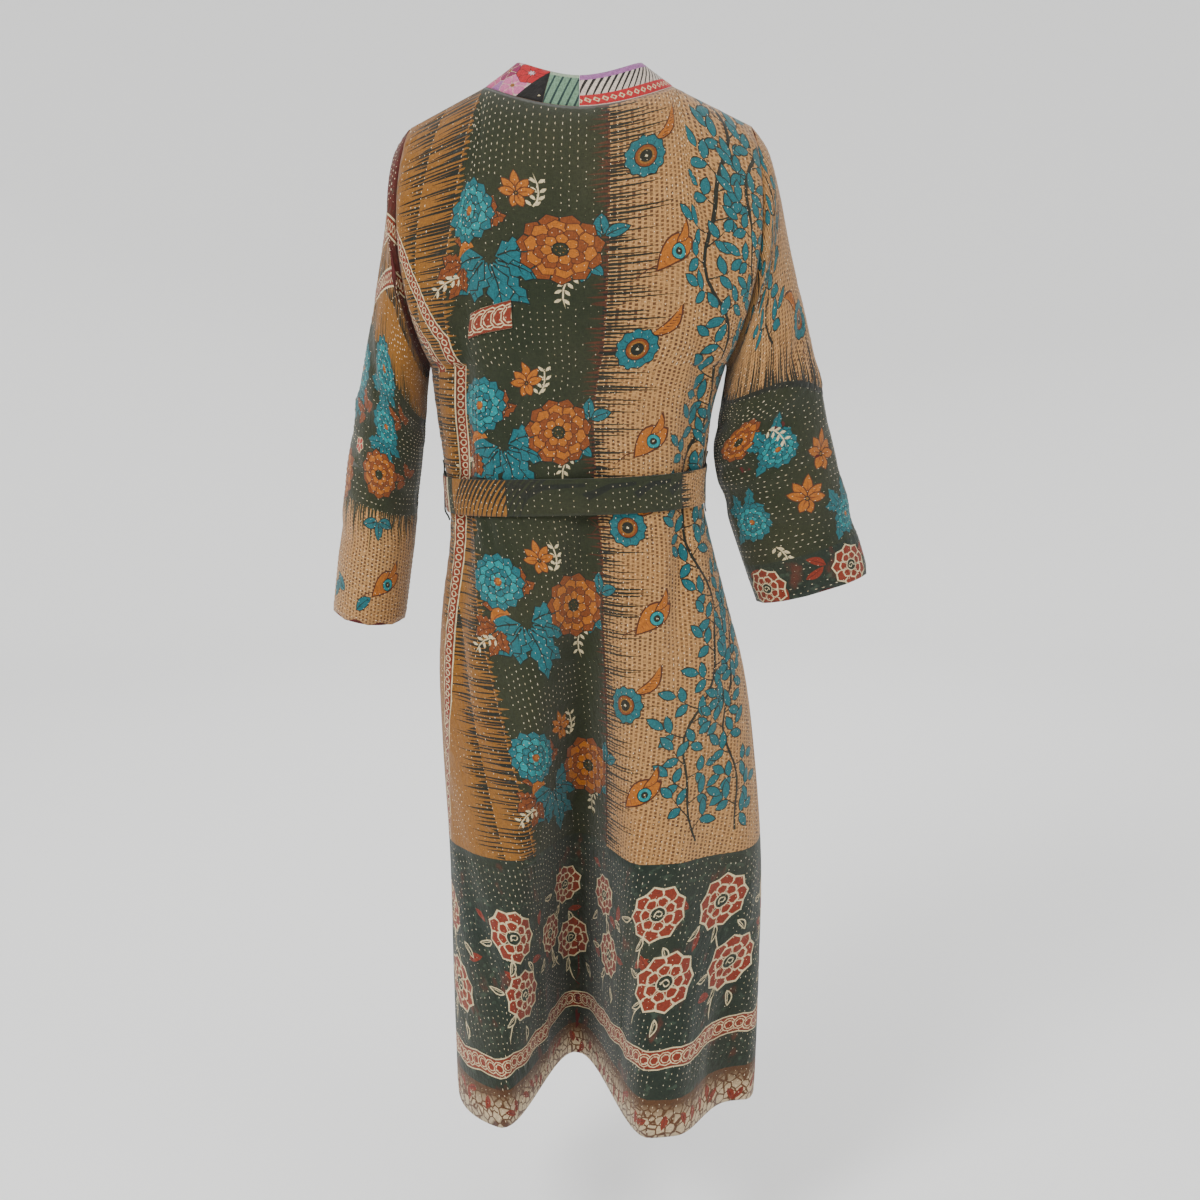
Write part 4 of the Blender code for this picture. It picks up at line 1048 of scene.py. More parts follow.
def cut_and_print(surface, print_, step_across, step_down):
    """Triangles of the flat cloth, cut along the print's outlines, with the ink on each."""
    ring = outline_ring(surface, step_across * 2, step_down)
    first_column = math.floor(surface.start.min() / step_across) * step_across
    columns = np.arange(first_column, surface.end.max(), step_across)
    rows = np.arange(surface.levels[0] + step_down, surface.levels[-1], step_down)
    across, level = (part.ravel() for part in np.meshgrid(columns, rows))
    inside = surface.from_edges(across, level) > step_across * 0.4
    loose = across[inside] + 1j * level[inside]
    rings = [ring]
    inks = [0]
    for index, (_, _, outline) in enumerate(print_.shapes[1:], 1):
        near = surface.from_edges(outline.real, outline.imag) > -0.05
        if not near.any():
            continue
        area = (outline.real * np.roll(outline.imag, -1) - outline.imag * np.roll(outline.real, -1)).sum()
        rings.append(outline if area > 0 else outline[::-1])
        inks.append(index)
    places = np.concatenate(rings + [loose])
    firsts = np.cumsum([0] + [len(part) for part in rings])
    faces = [list(range(firsts[index], firsts[index + 1])) for index in range(len(rings))]
    flat_points = [Vector((place.real / MM, place.imag / MM)) for place in places]
    found_points, _, triangles, _, _, _ = delaunay_2d_cdt(flat_points, [], faces, 0, 0.02, True)
    triangles = np.array(triangles)
    flat = np.array([complex(point[0], point[1]) for point in found_points]) * MM
    middles = flat[triangles].mean(axis=1)
    triangles = triangles[within(middles, ring)]
    middles = flat[triangles].mean(axis=1)
    order = np.argsort(middles.real)
    sorted_across = middles.real[order]
    ink = np.zeros(len(triangles), int)
    for index, outline in zip(inks[1:], rings[1:]):
        first, last = np.searchsorted(sorted_across, (outline.real.min(), outline.real.max()))
        near = order[first:last]
        level = middles.imag[near]
        near = near[(level > outline.imag.min()) & (level < outline.imag.max())]
        ink[near[within(middles[near], outline)]] = index
    used, triangles = np.unique(triangles, return_inverse=True)
    return flat[used], triangles.reshape(-1, 3), ink


def sewn_piece(name, surface, print_, relief, materials, wall=WALL, step_across=LATTICE_ACROSS,
               step_down=LATTICE_DOWN, inner_step=0.016):
    """A cloth wall: the printed outer layer, a plain inner one, and the turned edge between them."""
    flat, triangles, ink = cut_and_print(surface, print_, step_across, step_down)
    points, normals = surface.place(flat.real, flat.imag)
    points = points + normals * relief(flat.real, flat.imag)[:, None]

    corners = flat[triangles]
    area = ((corners[:, 1] - corners[:, 0]).conjugate() * (corners[:, 2] - corners[:, 0])).imag
    triangles[area < 0] = triangles[area < 0][:, ::-1]
    edges = np.concatenate((triangles[:, [0, 1]], triangles[:, [1, 2]], triangles[:, [2, 0]]))
    code = edges.min(axis=1).astype(np.int64) * len(flat) + edges.max(axis=1)
    _, first, count = np.unique(code, return_index=True, return_counts=True)
    rim = np.unique(edges[first[count == 1]])
    rim_shares = round_share(surface, flat[rim].real, flat[rim].imag)
    order = np.argsort(rim_shares)
    rim, rim_shares = rim[order], rim_shares[order]

    width, length = surface.flat_size()
    inner_columns = max(int(width / inner_step), 4)
    inner_rows = max(int(length / inner_step), 4)
    level = np.repeat(np.linspace(surface.levels[0], surface.levels[-1], inner_rows + 1), inner_columns + 1)
    share = np.tile(np.linspace(0.0, 1.0, inner_columns + 1), inner_rows + 1)
    across = surface.edge(-1, level) * (1 - share) + surface.edge(1, level) * share
    inner_points, inner_normals = surface.place(across, level)
    crease = np.minimum(relief(across, level), 0.0)
    inner_points = inner_points + inner_normals * (crease - wall)[:, None]
    base = len(flat)
    cells = base + np.arange((inner_rows + 1) * (inner_columns + 1)).reshape(inner_rows + 1, -1)
    low_left, low_right = cells[:-1, :-1].ravel(), cells[:-1, 1:].ravel()
    high_right, high_left = cells[1:, 1:].ravel(), cells[1:, :-1].ravel()
    inner = np.concatenate((np.stack((low_left, high_right, low_right), axis=1),
                            np.stack((low_left, high_left, high_right), axis=1)))
    inner_rim = np.concatenate((cells[0, :-1], cells[:-1, -1], cells[-1, :0:-1], cells[:0:-1, 0]))
    inner_shares = np.concatenate((
        np.arange(inner_columns) / inner_columns, 1 + np.arange(inner_rows) / inner_rows,
        2 + np.arange(inner_columns) / inner_columns, 3 + np.arange(inner_rows) / inner_rows))

    def next_share(shares, index):
        return shares[index + 1] if index + 1 < len(shares) else 4.0 + (index >= len(shares))

    strip = []
    here = there = 0
    while here < len(rim) or there < len(inner_rim):
        next_here, next_there = next_share(rim_shares, here), next_share(inner_shares, there)
        a, b = rim[here % len(rim)], inner_rim[there % len(inner_rim)]
        if there >= len(inner_rim) or (here < len(rim) and next_here <= next_there):
            strip.append((a, b, rim[(here + 1) % len(rim)]))
            here += 1
        else:
            strip.append((a, b, inner_rim[(there + 1) % len(inner_rim)]))
            there += 1
    faces = np.concatenate((triangles, inner, np.array(strip)))
    if surface.turned:
        faces = faces[:, ::-1]

    mesh = bpy.data.meshes.new(name)
    mesh.from_pydata(np.concatenate((points, inner_points)).tolist(), [], faces.tolist())
    mesh.polygons.foreach_set("material_index", (np.arange(len(faces)) >= len(triangles)).astype(np.int32))
    mesh.polygons.foreach_set("use_smooth", np.ones(len(faces), bool))
    inks = np.concatenate((ink, np.zeros(len(faces) - len(triangles), int)))
    for attribute, column in (("print", 0), ("ground", 1)):
        palette = np.array([opaque(shape[column]) for shape in print_.shapes])
        layer = mesh.color_attributes.new(attribute, "FLOAT_COLOR", "CORNER")
        layer.data.foreach_set("color", np.repeat(palette[inks], 3, axis=0).ravel())
    flat_all = np.concatenate((flat, across + 1j * level))[faces.ravel()]
    layer = mesh.uv_layers.new(name="flat")
    layer.data.foreach_set("uv", np.stack((flat_all.real, flat_all.imag), axis=1).ravel())
    for material in materials:
        mesh.materials.append(material)
    mesh.update()
    piece = bpy.data.objects.new(name, mesh)
    bpy.context.scene.collection.objects.link(piece)
    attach(piece, "root")
    return piece


STITCH_LENGTH = 0.0033
STITCH_STEP = 0.008
STITCH_HALF_WIDTH = 0.00042
STITCH_RISE = 0.0004
STITCH_SIDE_RISE = 0.0001
STITCH_SINK = 0.0004
STITCH_END_SINK = 0.0003
STITCH_WANDER_ALONG = 0.0005
STITCH_WANDER_ACROSS = 0.00025
STITCH_EDGE_GAP = 0.0035
STITCH_SIDES = ((0, 4, 2), (2, 4, 1), (1, 4, 3), (3, 4, 0), (0, 2, 5), (2, 1, 5), (1, 3, 5), (3, 0, 5))


def running_stitches(name, surface, relief, material, seed, along_level=True):
    """Rows of short hand stitches, each a small closed bead of thread lying in its valley."""
    draw = np.random.default_rng(seed)
    if along_level:
        low, high = surface.start.min(), surface.end.max()
        steps = np.arange(surface.levels[0] + STITCH_STEP / 2, surface.levels[-1], STITCH_STEP)
    else:
        low, high = surface.levels[0], surface.levels[-1]
        steps = np.arange(surface.start.min(), surface.end.max(), STITCH_STEP)
    rows = np.arange(math.ceil(low / ROW_PITCH), high / ROW_PITCH) * ROW_PITCH
    row, place = (part.ravel() for part in np.meshgrid(rows, steps))
    shifts = np.repeat(draw.uniform(-0.5, 0.5, (1, len(rows))), len(steps), axis=0).ravel()
    place = place + shifts * STITCH_STEP
    place = place + draw.normal(0.0, STITCH_WANDER_ALONG, row.shape)
    row = row + draw.normal(0.0, STITCH_WANDER_ACROSS, row.shape)
    half = STITCH_LENGTH / 2 * draw.uniform(0.8, 1.2, row.shape)
    ends = [(row, place + side * half) for side in (-1, 0, 1)]
    if not along_level:
        ends = [end[::-1] for end in ends]
    inside = np.minimum.reduce([surface.from_edges(*end) for end in ends]) > STITCH_EDGE_GAP
    ends = [(across[inside], level[inside]) for across, level in ends]
    spots = []
    for across, level in ends:
        points, normals = surface.place(across, level)
        spots.append((points + normals * relief(across, level)[:, None], normals))
    (start, start_normal), (middle, up), (finish, finish_normal) = spots
    ahead = finish - start
    side = np.cross(up, ahead / np.linalg.norm(ahead, axis=1, keepdims=True)) * STITCH_HALF_WIDTH
    corners = np.stack((
        start - start_normal * STITCH_END_SINK, finish - finish_normal * STITCH_END_SINK,
        middle + side + up * STITCH_SIDE_RISE, middle - side + up * STITCH_SIDE_RISE,
        middle + up * STITCH_RISE, middle - up * STITCH_SINK), axis=1)
    pattern = np.array(STITCH_SIDES)
    faces = (pattern[None] + 6 * np.arange(len(start))[:, None, None]).reshape(-1, 3)
    probe = corners[0]
    face = probe[pattern[0]]
    if np.dot(np.cross(face[1] - face[0], face[2] - face[0]), face.mean(axis=0) - probe.mean(axis=0)) < 0:
        faces = faces[:, ::-1]
    mesh = bpy.data.meshes.new(name)
    mesh.from_pydata(corners.reshape(-1, 3).tolist(), [], faces.tolist())
    mesh.materials.append(material)
    piece = bpy.data.objects.new(name, mesh)
    bpy.context.scene.collection.objects.link(piece)
    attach(piece, "root")
    return piece


body_cotton = cotton_material("quilted_print_cotton")
plum_lining = lining_material("plum_inner_cotton", paint(92, 44, 44), paint(60, 34, 30))
cream_thread = thread_material("cream_running_thread", paint(236, 220, 190), paint(190, 170, 130))

back_surface = Surface(*back_points())
back_relief = quilted_relief(back_surface, BACK_CREASES)
back = sewn_piece("quilted_back", back_surface, back_print, back_relief, (body_cotton, plum_lining))
back_stitches = running_stitches("back_stitches", back_surface, back_relief, cream_thread, 21)
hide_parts("back_panel")


# Fronts and their bands
# Two fronts of the same printed cotton, quilted like the back. The right one laps over the left,
# and each is edged from the shoulder to the hem with a band of another cotton.
BAND_WIDTH = 0.043
BAND_LEAN_AT_SHOULDER = math.radians(35)
LAP_HEIGHT = -0.46
LAP_REACH = 0.05
LAP_CURVE = 1.15
LAP_STEP = 0.007
LAP_STEP_RUN = 0.040
LAP_STEP_EDGE = 0.006
FRONT_COLUMNS = 88
BAND_STEPS = 12


def lap_seam(side, height):
    """Place across of the seam between a front and its band. Side 1 is the right front."""
    neck = NECK_CENTRE + side * NECK_HALF_WIDTH
    lap = -side * LAP_REACH
    rise = np.clip((height - LAP_HEIGHT) / (NECK_HEIGHT - LAP_HEIGHT), 0.0, 1.0)
    return lap + (neck - lap) * rise ** LAP_CURVE


def lap_step(side, across, height):
    """How far the left front steps in to pass under the right one."""
    if side > 0:
        return 0.0
    edge = lap_seam(1, height) - BAND_WIDTH - LAP_STEP_EDGE
    return LAP_STEP * ease(edge - LAP_STEP_RUN, edge, across)


def front_points(side):
    """Rows of points of a front and of its band, and where the seam lies in each row."""
    panel, band, seams = [], [], []
    reach = SEAM_GAP + BAND_WIDTH * np.linspace(0.0, 1.0, BAND_STEPS + 1)
    for height in SKIRT_LEVELS:
        outline = section(height, False)
        seam = lap_seam(side, height)
        corner = np.array([(seam, np.interp(seam, outline[:, 0], outline[:, 1]), height)])
        kept = outline[side * outline[:, 0] > side * seam]
        kept = np.concatenate((corner, kept)) if side > 0 else np.concatenate((kept, corner))
        row = share_out(kept, FRONT_COLUMNS)
        row[:, 1] -= lap_step(side, row[:, 0], height)
        across = seam - side * reach
        into = np.interp(across, outline[:, 0], outline[:, 1]) - lap_step(side, across, height)
        panel.append(row)
        band.append(np.stack((across, into, np.full(across.shape, height)), axis=1))
        seams.append(seam)
    underarm = panel[-1]
    shares = (underarm[:, 0] - underarm[0, 0]) / (underarm[-1, 0] - underarm[0, 0])
    even = np.linspace(0.0, 1.0, FRONT_COLUMNS + 1)
    tip = armhole_point(side, 0.0)
    for turn in ARMHOLE_TURNS:
        rise = (1 + math.cos(turn)) / 2
        edge = armhole_point(side, turn)[0]
        seam_height = UNDERARM + (NECK_HEIGHT - UNDERARM) * rise
        seam = lap_seam(side, seam_height)
        place = shares + (even - shares) * rise
        low, high = (seam, edge) if side > 0 else (edge, seam)
        across = low + (high - low) * place
        from_edge = (across - edge) / (seam - edge)
        crown = tip[2] + (NECK_HEIGHT - tip[2]) * from_edge
        height = UNDERARM + (crown - UNDERARM) * rise
        into = upper_depth(across, rise, turn, False) - lap_step(side, across, height)
        row = np.stack((across, into, height), axis=1)
        panel.append(row)
        band_across = seam - side * reach
        band_into = upper_depth(band_across, rise, turn, False) - lap_step(side, band_across, seam_height)
        flat = np.stack((band_across, band_into, np.full(band_across.shape, seam_height)), axis=1)
        lean = BAND_LEAN_AT_SHOULDER
        rising = np.array((-side * math.cos(lean), 0.0, math.sin(lean)))
        raised = row[0 if side > 0 else -1] + reach[:, None] * rising
        band.append(flat + (raised - flat) * ease(0.5, 1.0, rise))
        seams.append(seam)
    panel, band = np.array(panel), np.array(band)
    if side > 0:
        band = band[:, ::-1]
    for points in (panel, band):
        points[:, :, 1] += SEAM_GAP / 2
    return panel, band, np.array(seams)


FRONT_FLOWERS = {
    -1: ((-300, 1010, 10, 1.0), (-240, 930, 40, 1.0), (-190, 1030, 20, 0.95), (-110, 950, 0, 1.0),
         (-60, 1040, 50, 1.0), (10, 960, 25, 0.9)),
    1: ((0, 955, 10, 0.95), (60, 1035, 40, 1.0), (120, 940, 20, 1.0), (190, 1025, 0, 0.95),
        (250, 945, 50, 1.0), (310, 1030, 25, 1.0)),
}
FRONT_CREASES = {
    -1: [(-0.150, 0.190, 0.140, 0.030, 30, 0.004), (-0.100, 0.330, 0.140, 0.030, 14, 0.003),
         (-0.060, 0.250, 0.200, 0.030, 8, 0.002), (-0.180, 0.700, 0.300, 0.036, 3, 0.004),
         (-0.080, 0.760, 0.300, 0.036, -4, 0.003), (-0.220, 1.040, 0.340, 0.040, 2, 0.005),
         (-0.120, 1.080, 0.240, 0.040, -2, -0.004)] + waist_gathers(-0.27, 0.03, 13),
    1: [(0.150, 0.190, 0.140, 0.030, -30, 0.004), (0.100, 0.330, 0.140, 0.030, -14, 0.003),
        (0.070, 0.250, 0.200, 0.030, -8, 0.002), (0.190, 0.700, 0.300, 0.036, -3, 0.004),
        (0.080, 0.760, 0.300, 0.036, 4, 0.003), (0.240, 1.040, 0.340, 0.040, -2, 0.005),
        (0.120, 1.080, 0.240, 0.040, 2, -0.004)] + waist_gathers(-0.03, 0.27, 14),
}


def front_print(side):
    cloth = Print(OLIVE)
    mustard = side * 226
    tan = side * 112
    cloth.zone(TAN, *sorted((-side * 90, tan)), -10, 876, DASHED)
    cloth.zone(MUSTARD, *sorted((mustard, side * 460)), -10, 884)
    streaks(cloth, tan, 2, 874, -side * 50, INK, 31 + side, 3.6)
    streaks(cloth, mustard, 4, 884, side * 60, INK, 33 + side, 3.8)
    vine(cloth, side * 78, 10, 862, 10, 35 + side, 28)
    eye_column(cloth, side * 26, flip=side > 0)
    flower_column(cloth, side * 176, flip=side > 0)
    band_left, band_right = (1146, 1124) if side < 0 else (1124, 1102)
    hem_border(cloth, -370, 370, FRONT_FLOWERS[side], band_left, band_right, 7 + side)
    return cloth


def band_print(side):
    """Fine sprigs on one band and a woven-look border on the other."""
    cloth = Print(paint(206, 150, 140) if side < 0 else paint(226, 204, 172))
    ground = paint(176, 52, 84) if side < 0 else paint(168, 40, 44)
    cloth.zone(ground, -30, -12, -30, 1230)
    for down in np.arange(6, 1215, 22.0):
        if side < 0:
            block = Block(cloth, 5, down, down * 7, 0.36)
            petal_ring(block, 6, 2, 24, 22, paint(150, 24, 56), paint(236, 214, 200))
            block.ink(paint(230, 170, 60), disc(0, 6))
        else:
            diamond = np.array((0, 7 - 8j, 14, 7 + 8j)) - 1j * down
            cloth.ink(RUST, diamond)
            cloth.ink(INK, stroke((-12 - 1j * down, -1j * down - 9j), 2, 1))
    return cloth


band_cottons = {-1: cotton_material("band_flower_cotton"), 1: cotton_material("band_border_cotton")}
pale_lining = lining_material("pale_inner_cotton", paint(150, 120, 96), paint(110, 82, 66))
for side, name in ((-1, "left"), (1, "right")):
    panel, band, seams = front_points(side)
    levels = np.concatenate((SKIRT_LEVELS, UNDERARM * (1 - np.cos(ARMHOLE_TURNS)) / 2))
    lengths = np.linalg.norm(np.diff(panel, axis=1), axis=2).sum(axis=1)
    surface = Surface(panel, levels, seams if side > 0 else seams - lengths)
    relief = quilted_relief(surface, FRONT_CREASES[side])
    cloth = front_print(side)
    front = sewn_piece("quilted_front_" + name, surface, cloth, relief, (body_cotton, plum_lining))
    stitches = running_stitches("front_stitches_" + name, surface, relief, cream_thread, 40 + side)
    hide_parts("front_" + name)
    band_surface = Surface(band, levels)
    band_relief = quilted_relief(band_surface, [], rise=0.0004)
    edging = sewn_piece("front_edging_" + name, band_surface, band_print(side), band_relief,
                        (band_cottons[side], pale_lining), step_across=0.0045)
    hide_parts("front_band_" + name)

# Sleeves
# Each sleeve is one piece of printed cotton, quilted round the arm and joined under it, set into
# a dropped armhole. The arms hang away from the sides and the cuffs are open.

# Inner side x and z, outer side x and z, half depth, forward set
SLEEVE_RINGS = {
    1: (
        (0.1716, -0.2990, 0.2145, -0.0470, 0.0775, 0.000),
        (0.1712, -0.3080, 0.2290, -0.0950, 0.0770, 0.000),
        (0.1680, -0.3300, 0.2444, -0.1612, 0.0720, 0.000),
        (0.1610, -0.3680, 0.2639, -0.2370, 0.0660, 0.000),
        (0.1570, -0.4005, 0.2839, -0.3199, 0.0600, 0.002),
        (0.1655, -0.4467, 0.3042, -0.4005, 0.0550, 0.005),
        (0.1875, -0.5145, 0.3269, -0.4737, 0.0520, 0.010),
        (0.2133, -0.5868, 0.3499, -0.5480, 0.0500, 0.012),
    ),
    -1: (
        (0.1835, -0.3000, 0.2165, -0.0480, 0.0790, 0.000),
        (0.1855, -0.3100, 0.2253, -0.0980, 0.0800, 0.000),
        (0.1885, -0.3378, 0.2364, -0.1670, 0.0800, 0.000),
        (0.1900, -0.3618, 0.2502, -0.2405, 0.0790, 0.000),
        (0.1930, -0.3956, 0.2669, -0.3258, 0.0780, 0.000),
        (0.1998, -0.4467, 0.2837, -0.4077, 0.0770, 0.005),
        (0.2088, -0.5207, 0.2961, -0.4959, 0.0750, 0.010),
        (0.2218, -0.6083, 0.3089, -0.5931, 0.0740, 0.014),
    ),
}
# Distance down the sleeve, turn in degrees, half length, half turn, depth
SLEEVE_FOLDS = (
    (0.20, 150.0, 0.035, 60.0, 0.006),
    (0.27, 60.0, 0.030, 55.0, 0.005),
    (0.35, 140.0, 0.030, 70.0, 0.007),
    (0.42, 30.0, 0.030, 60.0, 0.004),
    (0.30, 270.0, 0.040, 60.0, 0.005),
)
SLEEVE_COLUMNS = 120
SLEEVE_ROWS = 110
SLEEVE_SEAM_TURN = 0.0015


def sleeve_fold(distance, turns):
    """Depth of the soft folds of a sleeve round one ring."""
    depth = np.zeros(turns.shape)
    for place, middle, half_length, half_turn, most in SLEEVE_FOLDS:
        off = (np.degrees(turns) - middle + 180) % 360 - 180
        along = min(abs(distance - place) / half_length, 1.0)
        round_ = np.minimum(abs(off) / half_turn, 1.0)
        depth += most * math.cos(along * math.pi / 2) ** 2 * np.cos(round_ * np.pi / 2) ** 2
    return depth


def sleeve_points(side):
    """Rings of a sleeve from its cuff up to its armhole, and the level of each."""
    tip = armhole_point(side, 0.0)
    under = armhole_point(side, math.pi)
    first = (abs(under[0]), under[2], abs(tip[0]), tip[2], ARMHOLE_DEPTH, 0.0)
    rows = np.array((first,) + SLEEVE_RINGS[side])
    middles = (rows[:, 0:2] + rows[:, 2:4]) / 2
    steps = np.linalg.norm(np.diff(middles, axis=0), axis=1)
    steps = (steps + np.linalg.norm(np.diff(rows[:, 2:4], axis=0), axis=1)) / 2
    places = np.concatenate(([0.0], np.cumsum(steps)))
    turns = np.linspace(-np.pi + SLEEVE_SEAM_TURN, np.pi - SLEEVE_SEAM_TURN, SLEEVE_COLUMNS + 1)
    distances = np.linspace(places[-1], 0.0, SLEEVE_ROWS + 1)
    rings = []
    for distance in distances:
        inner_x, inner_z, outer_x, outer_z, half_depth, forward = (
            smooth_read(places, rows[:, column], distance) for column in range(6))
        bulge = ARMHOLE_BULGE * (1 - ease(0.0, 0.10, distance))
        fold = 1 - sleeve_fold(distance, turns) / half_depth
        x = (inner_x + outer_x) / 2 + (outer_x - inner_x) / 2 * np.cos(turns) * fold
        x = x + bulge * np.sin(turns) ** 2
        z = (inner_z + outer_z) / 2 + (outer_z - inner_z) / 2 * np.cos(turns) * fold
        y = forward - half_depth * np.sin(turns) * fold
        rings.append(np.stack((side * (x + SEAM_GAP), y, z), axis=1))
    return np.array(rings), -distances


SLEEVE_CREASES = {
    -1: [(0.120, 0.120, 0.150, 0.026, 30, 0.004), (0.060, 0.210, 0.120, 0.022, -50, 0.003),
         (0.110, 0.270, 0.130, 0.022, 58, 0.004), (0.060, 0.330, 0.110, 0.020, -60, 0.003),
         (0.120, 0.400, 0.110, 0.022, 66, 0.003), (-0.080, 0.200, 0.140, 0.026, 50, 0.004),
         (-0.060, 0.320, 0.130, 0.024, -58, 0.004), (-0.100, 0.420, 0.110, 0.022, 60, 0.003),
         (0.000, 0.280, 0.120, 0.022, 70, -0.003)],
    1: [(0.130, 0.110, 0.150, 0.026, 30, 0.004), (0.060, 0.200, 0.130, 0.022, -50, 0.003),
        (0.120, 0.260, 0.130, 0.022, 60, 0.005), (0.150, 0.310, 0.110, 0.018, 74, 0.004),
        (0.060, 0.330, 0.110, 0.020, -62, 0.003), (0.110, 0.400, 0.110, 0.022, 66, 0.003),
        (-0.080, 0.200, 0.140, 0.026, 50, 0.004), (-0.060, 0.320, 0.130, 0.024, -58, 0.004),
        (-0.100, 0.420, 0.110, 0.022, 60, 0.003), (0.000, 0.260, 0.120, 0.022, 70, -0.003)],
}


def left_sleeve_print():
    cloth = Print(MUSTARD)
    cloth.zone(RUST_DARK, -350, 350, -10, 54, MOTTLED)
    streaks(cloth, 54, -340, 340, 46, RUST_DARK, 51, 5.0, upright=True)
    streaks(cloth, lambda across: 150 - 0.3 * abs(across), -330, 330, -70, INK, 52, 3.8, upright=True)
    cloth.zone(OLIVE, -350, 350, 190, 372)
    streaks(cloth, 192, -330, 330, -60, OLIVE, 53, 3.4, upright=True)
    cloth.zone(TAN, -350, 350, 372, 540, DASHED)
    streaks(cloth, 372, -200, 200, 62, OLIVE, 54, 3.6, upright=True)
    share = np.linspace(-1.0, 1.0, 41)
    for base, slope, reach in ((140, 0.88, 165), (193, 0.92, 212)):
        across = share * reach
        chain_strip(cloth, across - 1j * (base - slope * np.sqrt(across ** 2 + 180)), 15.0, 9.0)
    for across, down, size in (
            (96, 196, 1.0), (104, 262, 0.9), (30, 232, 0.9), (-60, 220, 1.0), (-110, 300, 0.9)):
        leaf_fan(Block(cloth, across, down + 18, 0, 0.8), (-20, -60, -100, -140, 200))
        teal_flower(Block(cloth, across, down, 0, size))
    for across, down in ((60, 268), (140, 236), (-30, 288), (150, 320), (-150, 250)):
        leaf_fan(Block(cloth, across, down, 20, 0.8), (30, 90, 150, 210), ORANGE_DARK, BROWN, 34, 13)
    for across, down in ((101, 326), (-70, 350), (20, 350)):
        orange_flower(Block(cloth, across, down, 12, 0.92))
    teal_sprig(Block(cloth, 106, 384, 180))
    teal_sprig(Block(cloth, -90, 400, 180))
    petal_ring(Block(cloth, 55, 307), 5, 0, 9, 7, paint(190, 50, 40), CREAM)
    for across, down, turn in ((127, 466, 10), (-60, 462, -10)):
        paisley(Block(cloth, across, down, turn, 0.8))
    for across, down, turn in ((57, 482, 140), (84, 500, 40), (30, 496, 60), (-130, 480, 120)):
        veined_leaf(Block(cloth, across, down, turn, 0.9), 0, 30, 15, TEAL, INK, 2, 2, 0)
    return cloth


def right_sleeve_print():
    cloth = Print(TAN, DASHED)
    across = np.linspace(-1.0, 1.0, 41) * 345
    top = 284 - 0.62 * np.sqrt(across ** 2 + 400)
    ground = np.concatenate((across - 1j * top, [345 - 560j, -345 - 560j]))[::-1]
    cloth.ink(INK, ground + 5j)
    cloth.ink(OLIVE, ground)
    streaks(cloth, lambda across: 284 - 0.62 * math.hypot(across, 20), -330, 330, -84, INK, 61, 3.3,
            upright=True)
    vine(cloth, 104, 6, 170, 10, 62, 30)
    vine(cloth, 190, 4, 90, 8, 63, 26)
    vine(cloth, -90, 10, 190, 10, 64, 30)
    peacock_eye(Block(cloth, 43, 183, -80, 0.8, True))
    peacock_eye(Block(cloth, -60, 150, -60, 0.8))
    streaks(cloth, 60, -330, 330, 50, BROWN, 65, 9.0, upright=True)
    for across, down, size in ((148, 262, 0.9), (-110, 290, 0.9)):
        orange_flower(Block(cloth, across, down, 30, size))
    for across, down in ((146, 384), (26, 408), (-70, 372), (-150, 400), (100, 300)):
        leaf_fan(Block(cloth, across + 8, down - 8, 0, 0.8), (20, 60, 110, 160, 210, 300))
        teal_flower(Block(cloth, across, down, 0, 0.85))
    for across, down in ((47, 328), (-20, 300), (80, 372)):
        lily_bud(Block(cloth, across, down, 20, 1.2))
    for across, down, turn in ((108, 270, 180), (123, 420, 200), (0, 360, 160), (-60, 330, 20)):
        cream_spray(Block(cloth, across, down, turn))
    cloth.zone(BORDER_GREEN, -345, 345, 438, 560, MOTTLED)
    for place in np.arange(-185, 190, 24.0):
        rust_leaf(Block(cloth, place, 462 + 10 * math.sin(place), place * 5, 0.9))
    for across, down in ((48, 468), (-70, 466), (150, 470)):
        border_flower(Block(cloth, across, down, 10, 0.74))
    return cloth


sleeve_cotton = cotton_material("quilted_sleeve_cotton")
for side, name, cloth in ((-1, "left", left_sleeve_print()), (1, "right", right_sleeve_print())):
    surface = Surface(*sleeve_points(side), axis=None)
    relief = quilted_relief(surface, SLEEVE_CREASES[side], along_level=True)
    sleeve = sewn_piece("quilted_sleeve_" + name, surface, cloth, relief, (sleeve_cotton, plum_lining),
                        step_across=LATTICE_DOWN, step_down=LATTICE_ACROSS)
    stitches = running_stitches("sleeve_stitches_" + name, surface, relief, cream_thread, 70 + side, False)
    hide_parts("sleeve_" + name)

# Neckband
# Three short lengths of other cottons, pieced end to end and folded over the neck edge: one with
# red and pink flowers, one sage green with slanting stripes, one with a border of diamonds.
BAND_LEAN = math.radians(57)
NECK_ROWS = 10


def neckband_points():
    """Rows of points from the neck seam up to the free edge."""
    columns = BACK_COLUMNS - 2 * SHOULDER_COLUMNS
    seam = back_surface.points[-1, SHOULDER_COLUMNS:SHOULDER_COLUMNS + columns + 1]
    turns = np.linspace(-np.pi / 2, np.pi / 2, columns + 1)
    lean = BAND_LEAN + (BAND_LEAN_AT_SHOULDER - BAND_LEAN) * abs(np.sin(turns)) ** 6
    ways = np.stack((-np.sin(turns) * np.cos(lean), np.cos(turns) * np.cos(lean), np.sin(lean)), axis=1)
    ways[0, 1] = ways[-1, 1] = 0.0
    heights = BAND_WIDTH * np.linspace(0.0, 1.0, NECK_ROWS + 1)
    return np.array([seam + ways * (SEAM_GAP + height) for height in heights]), heights


PINK = paint(214, 80, 140)
MAUVE = paint(176, 110, 170)
SAGE = paint(120, 158, 128)
BLACK = paint(24, 20, 22)
SCARLET = paint(200, 34, 44)


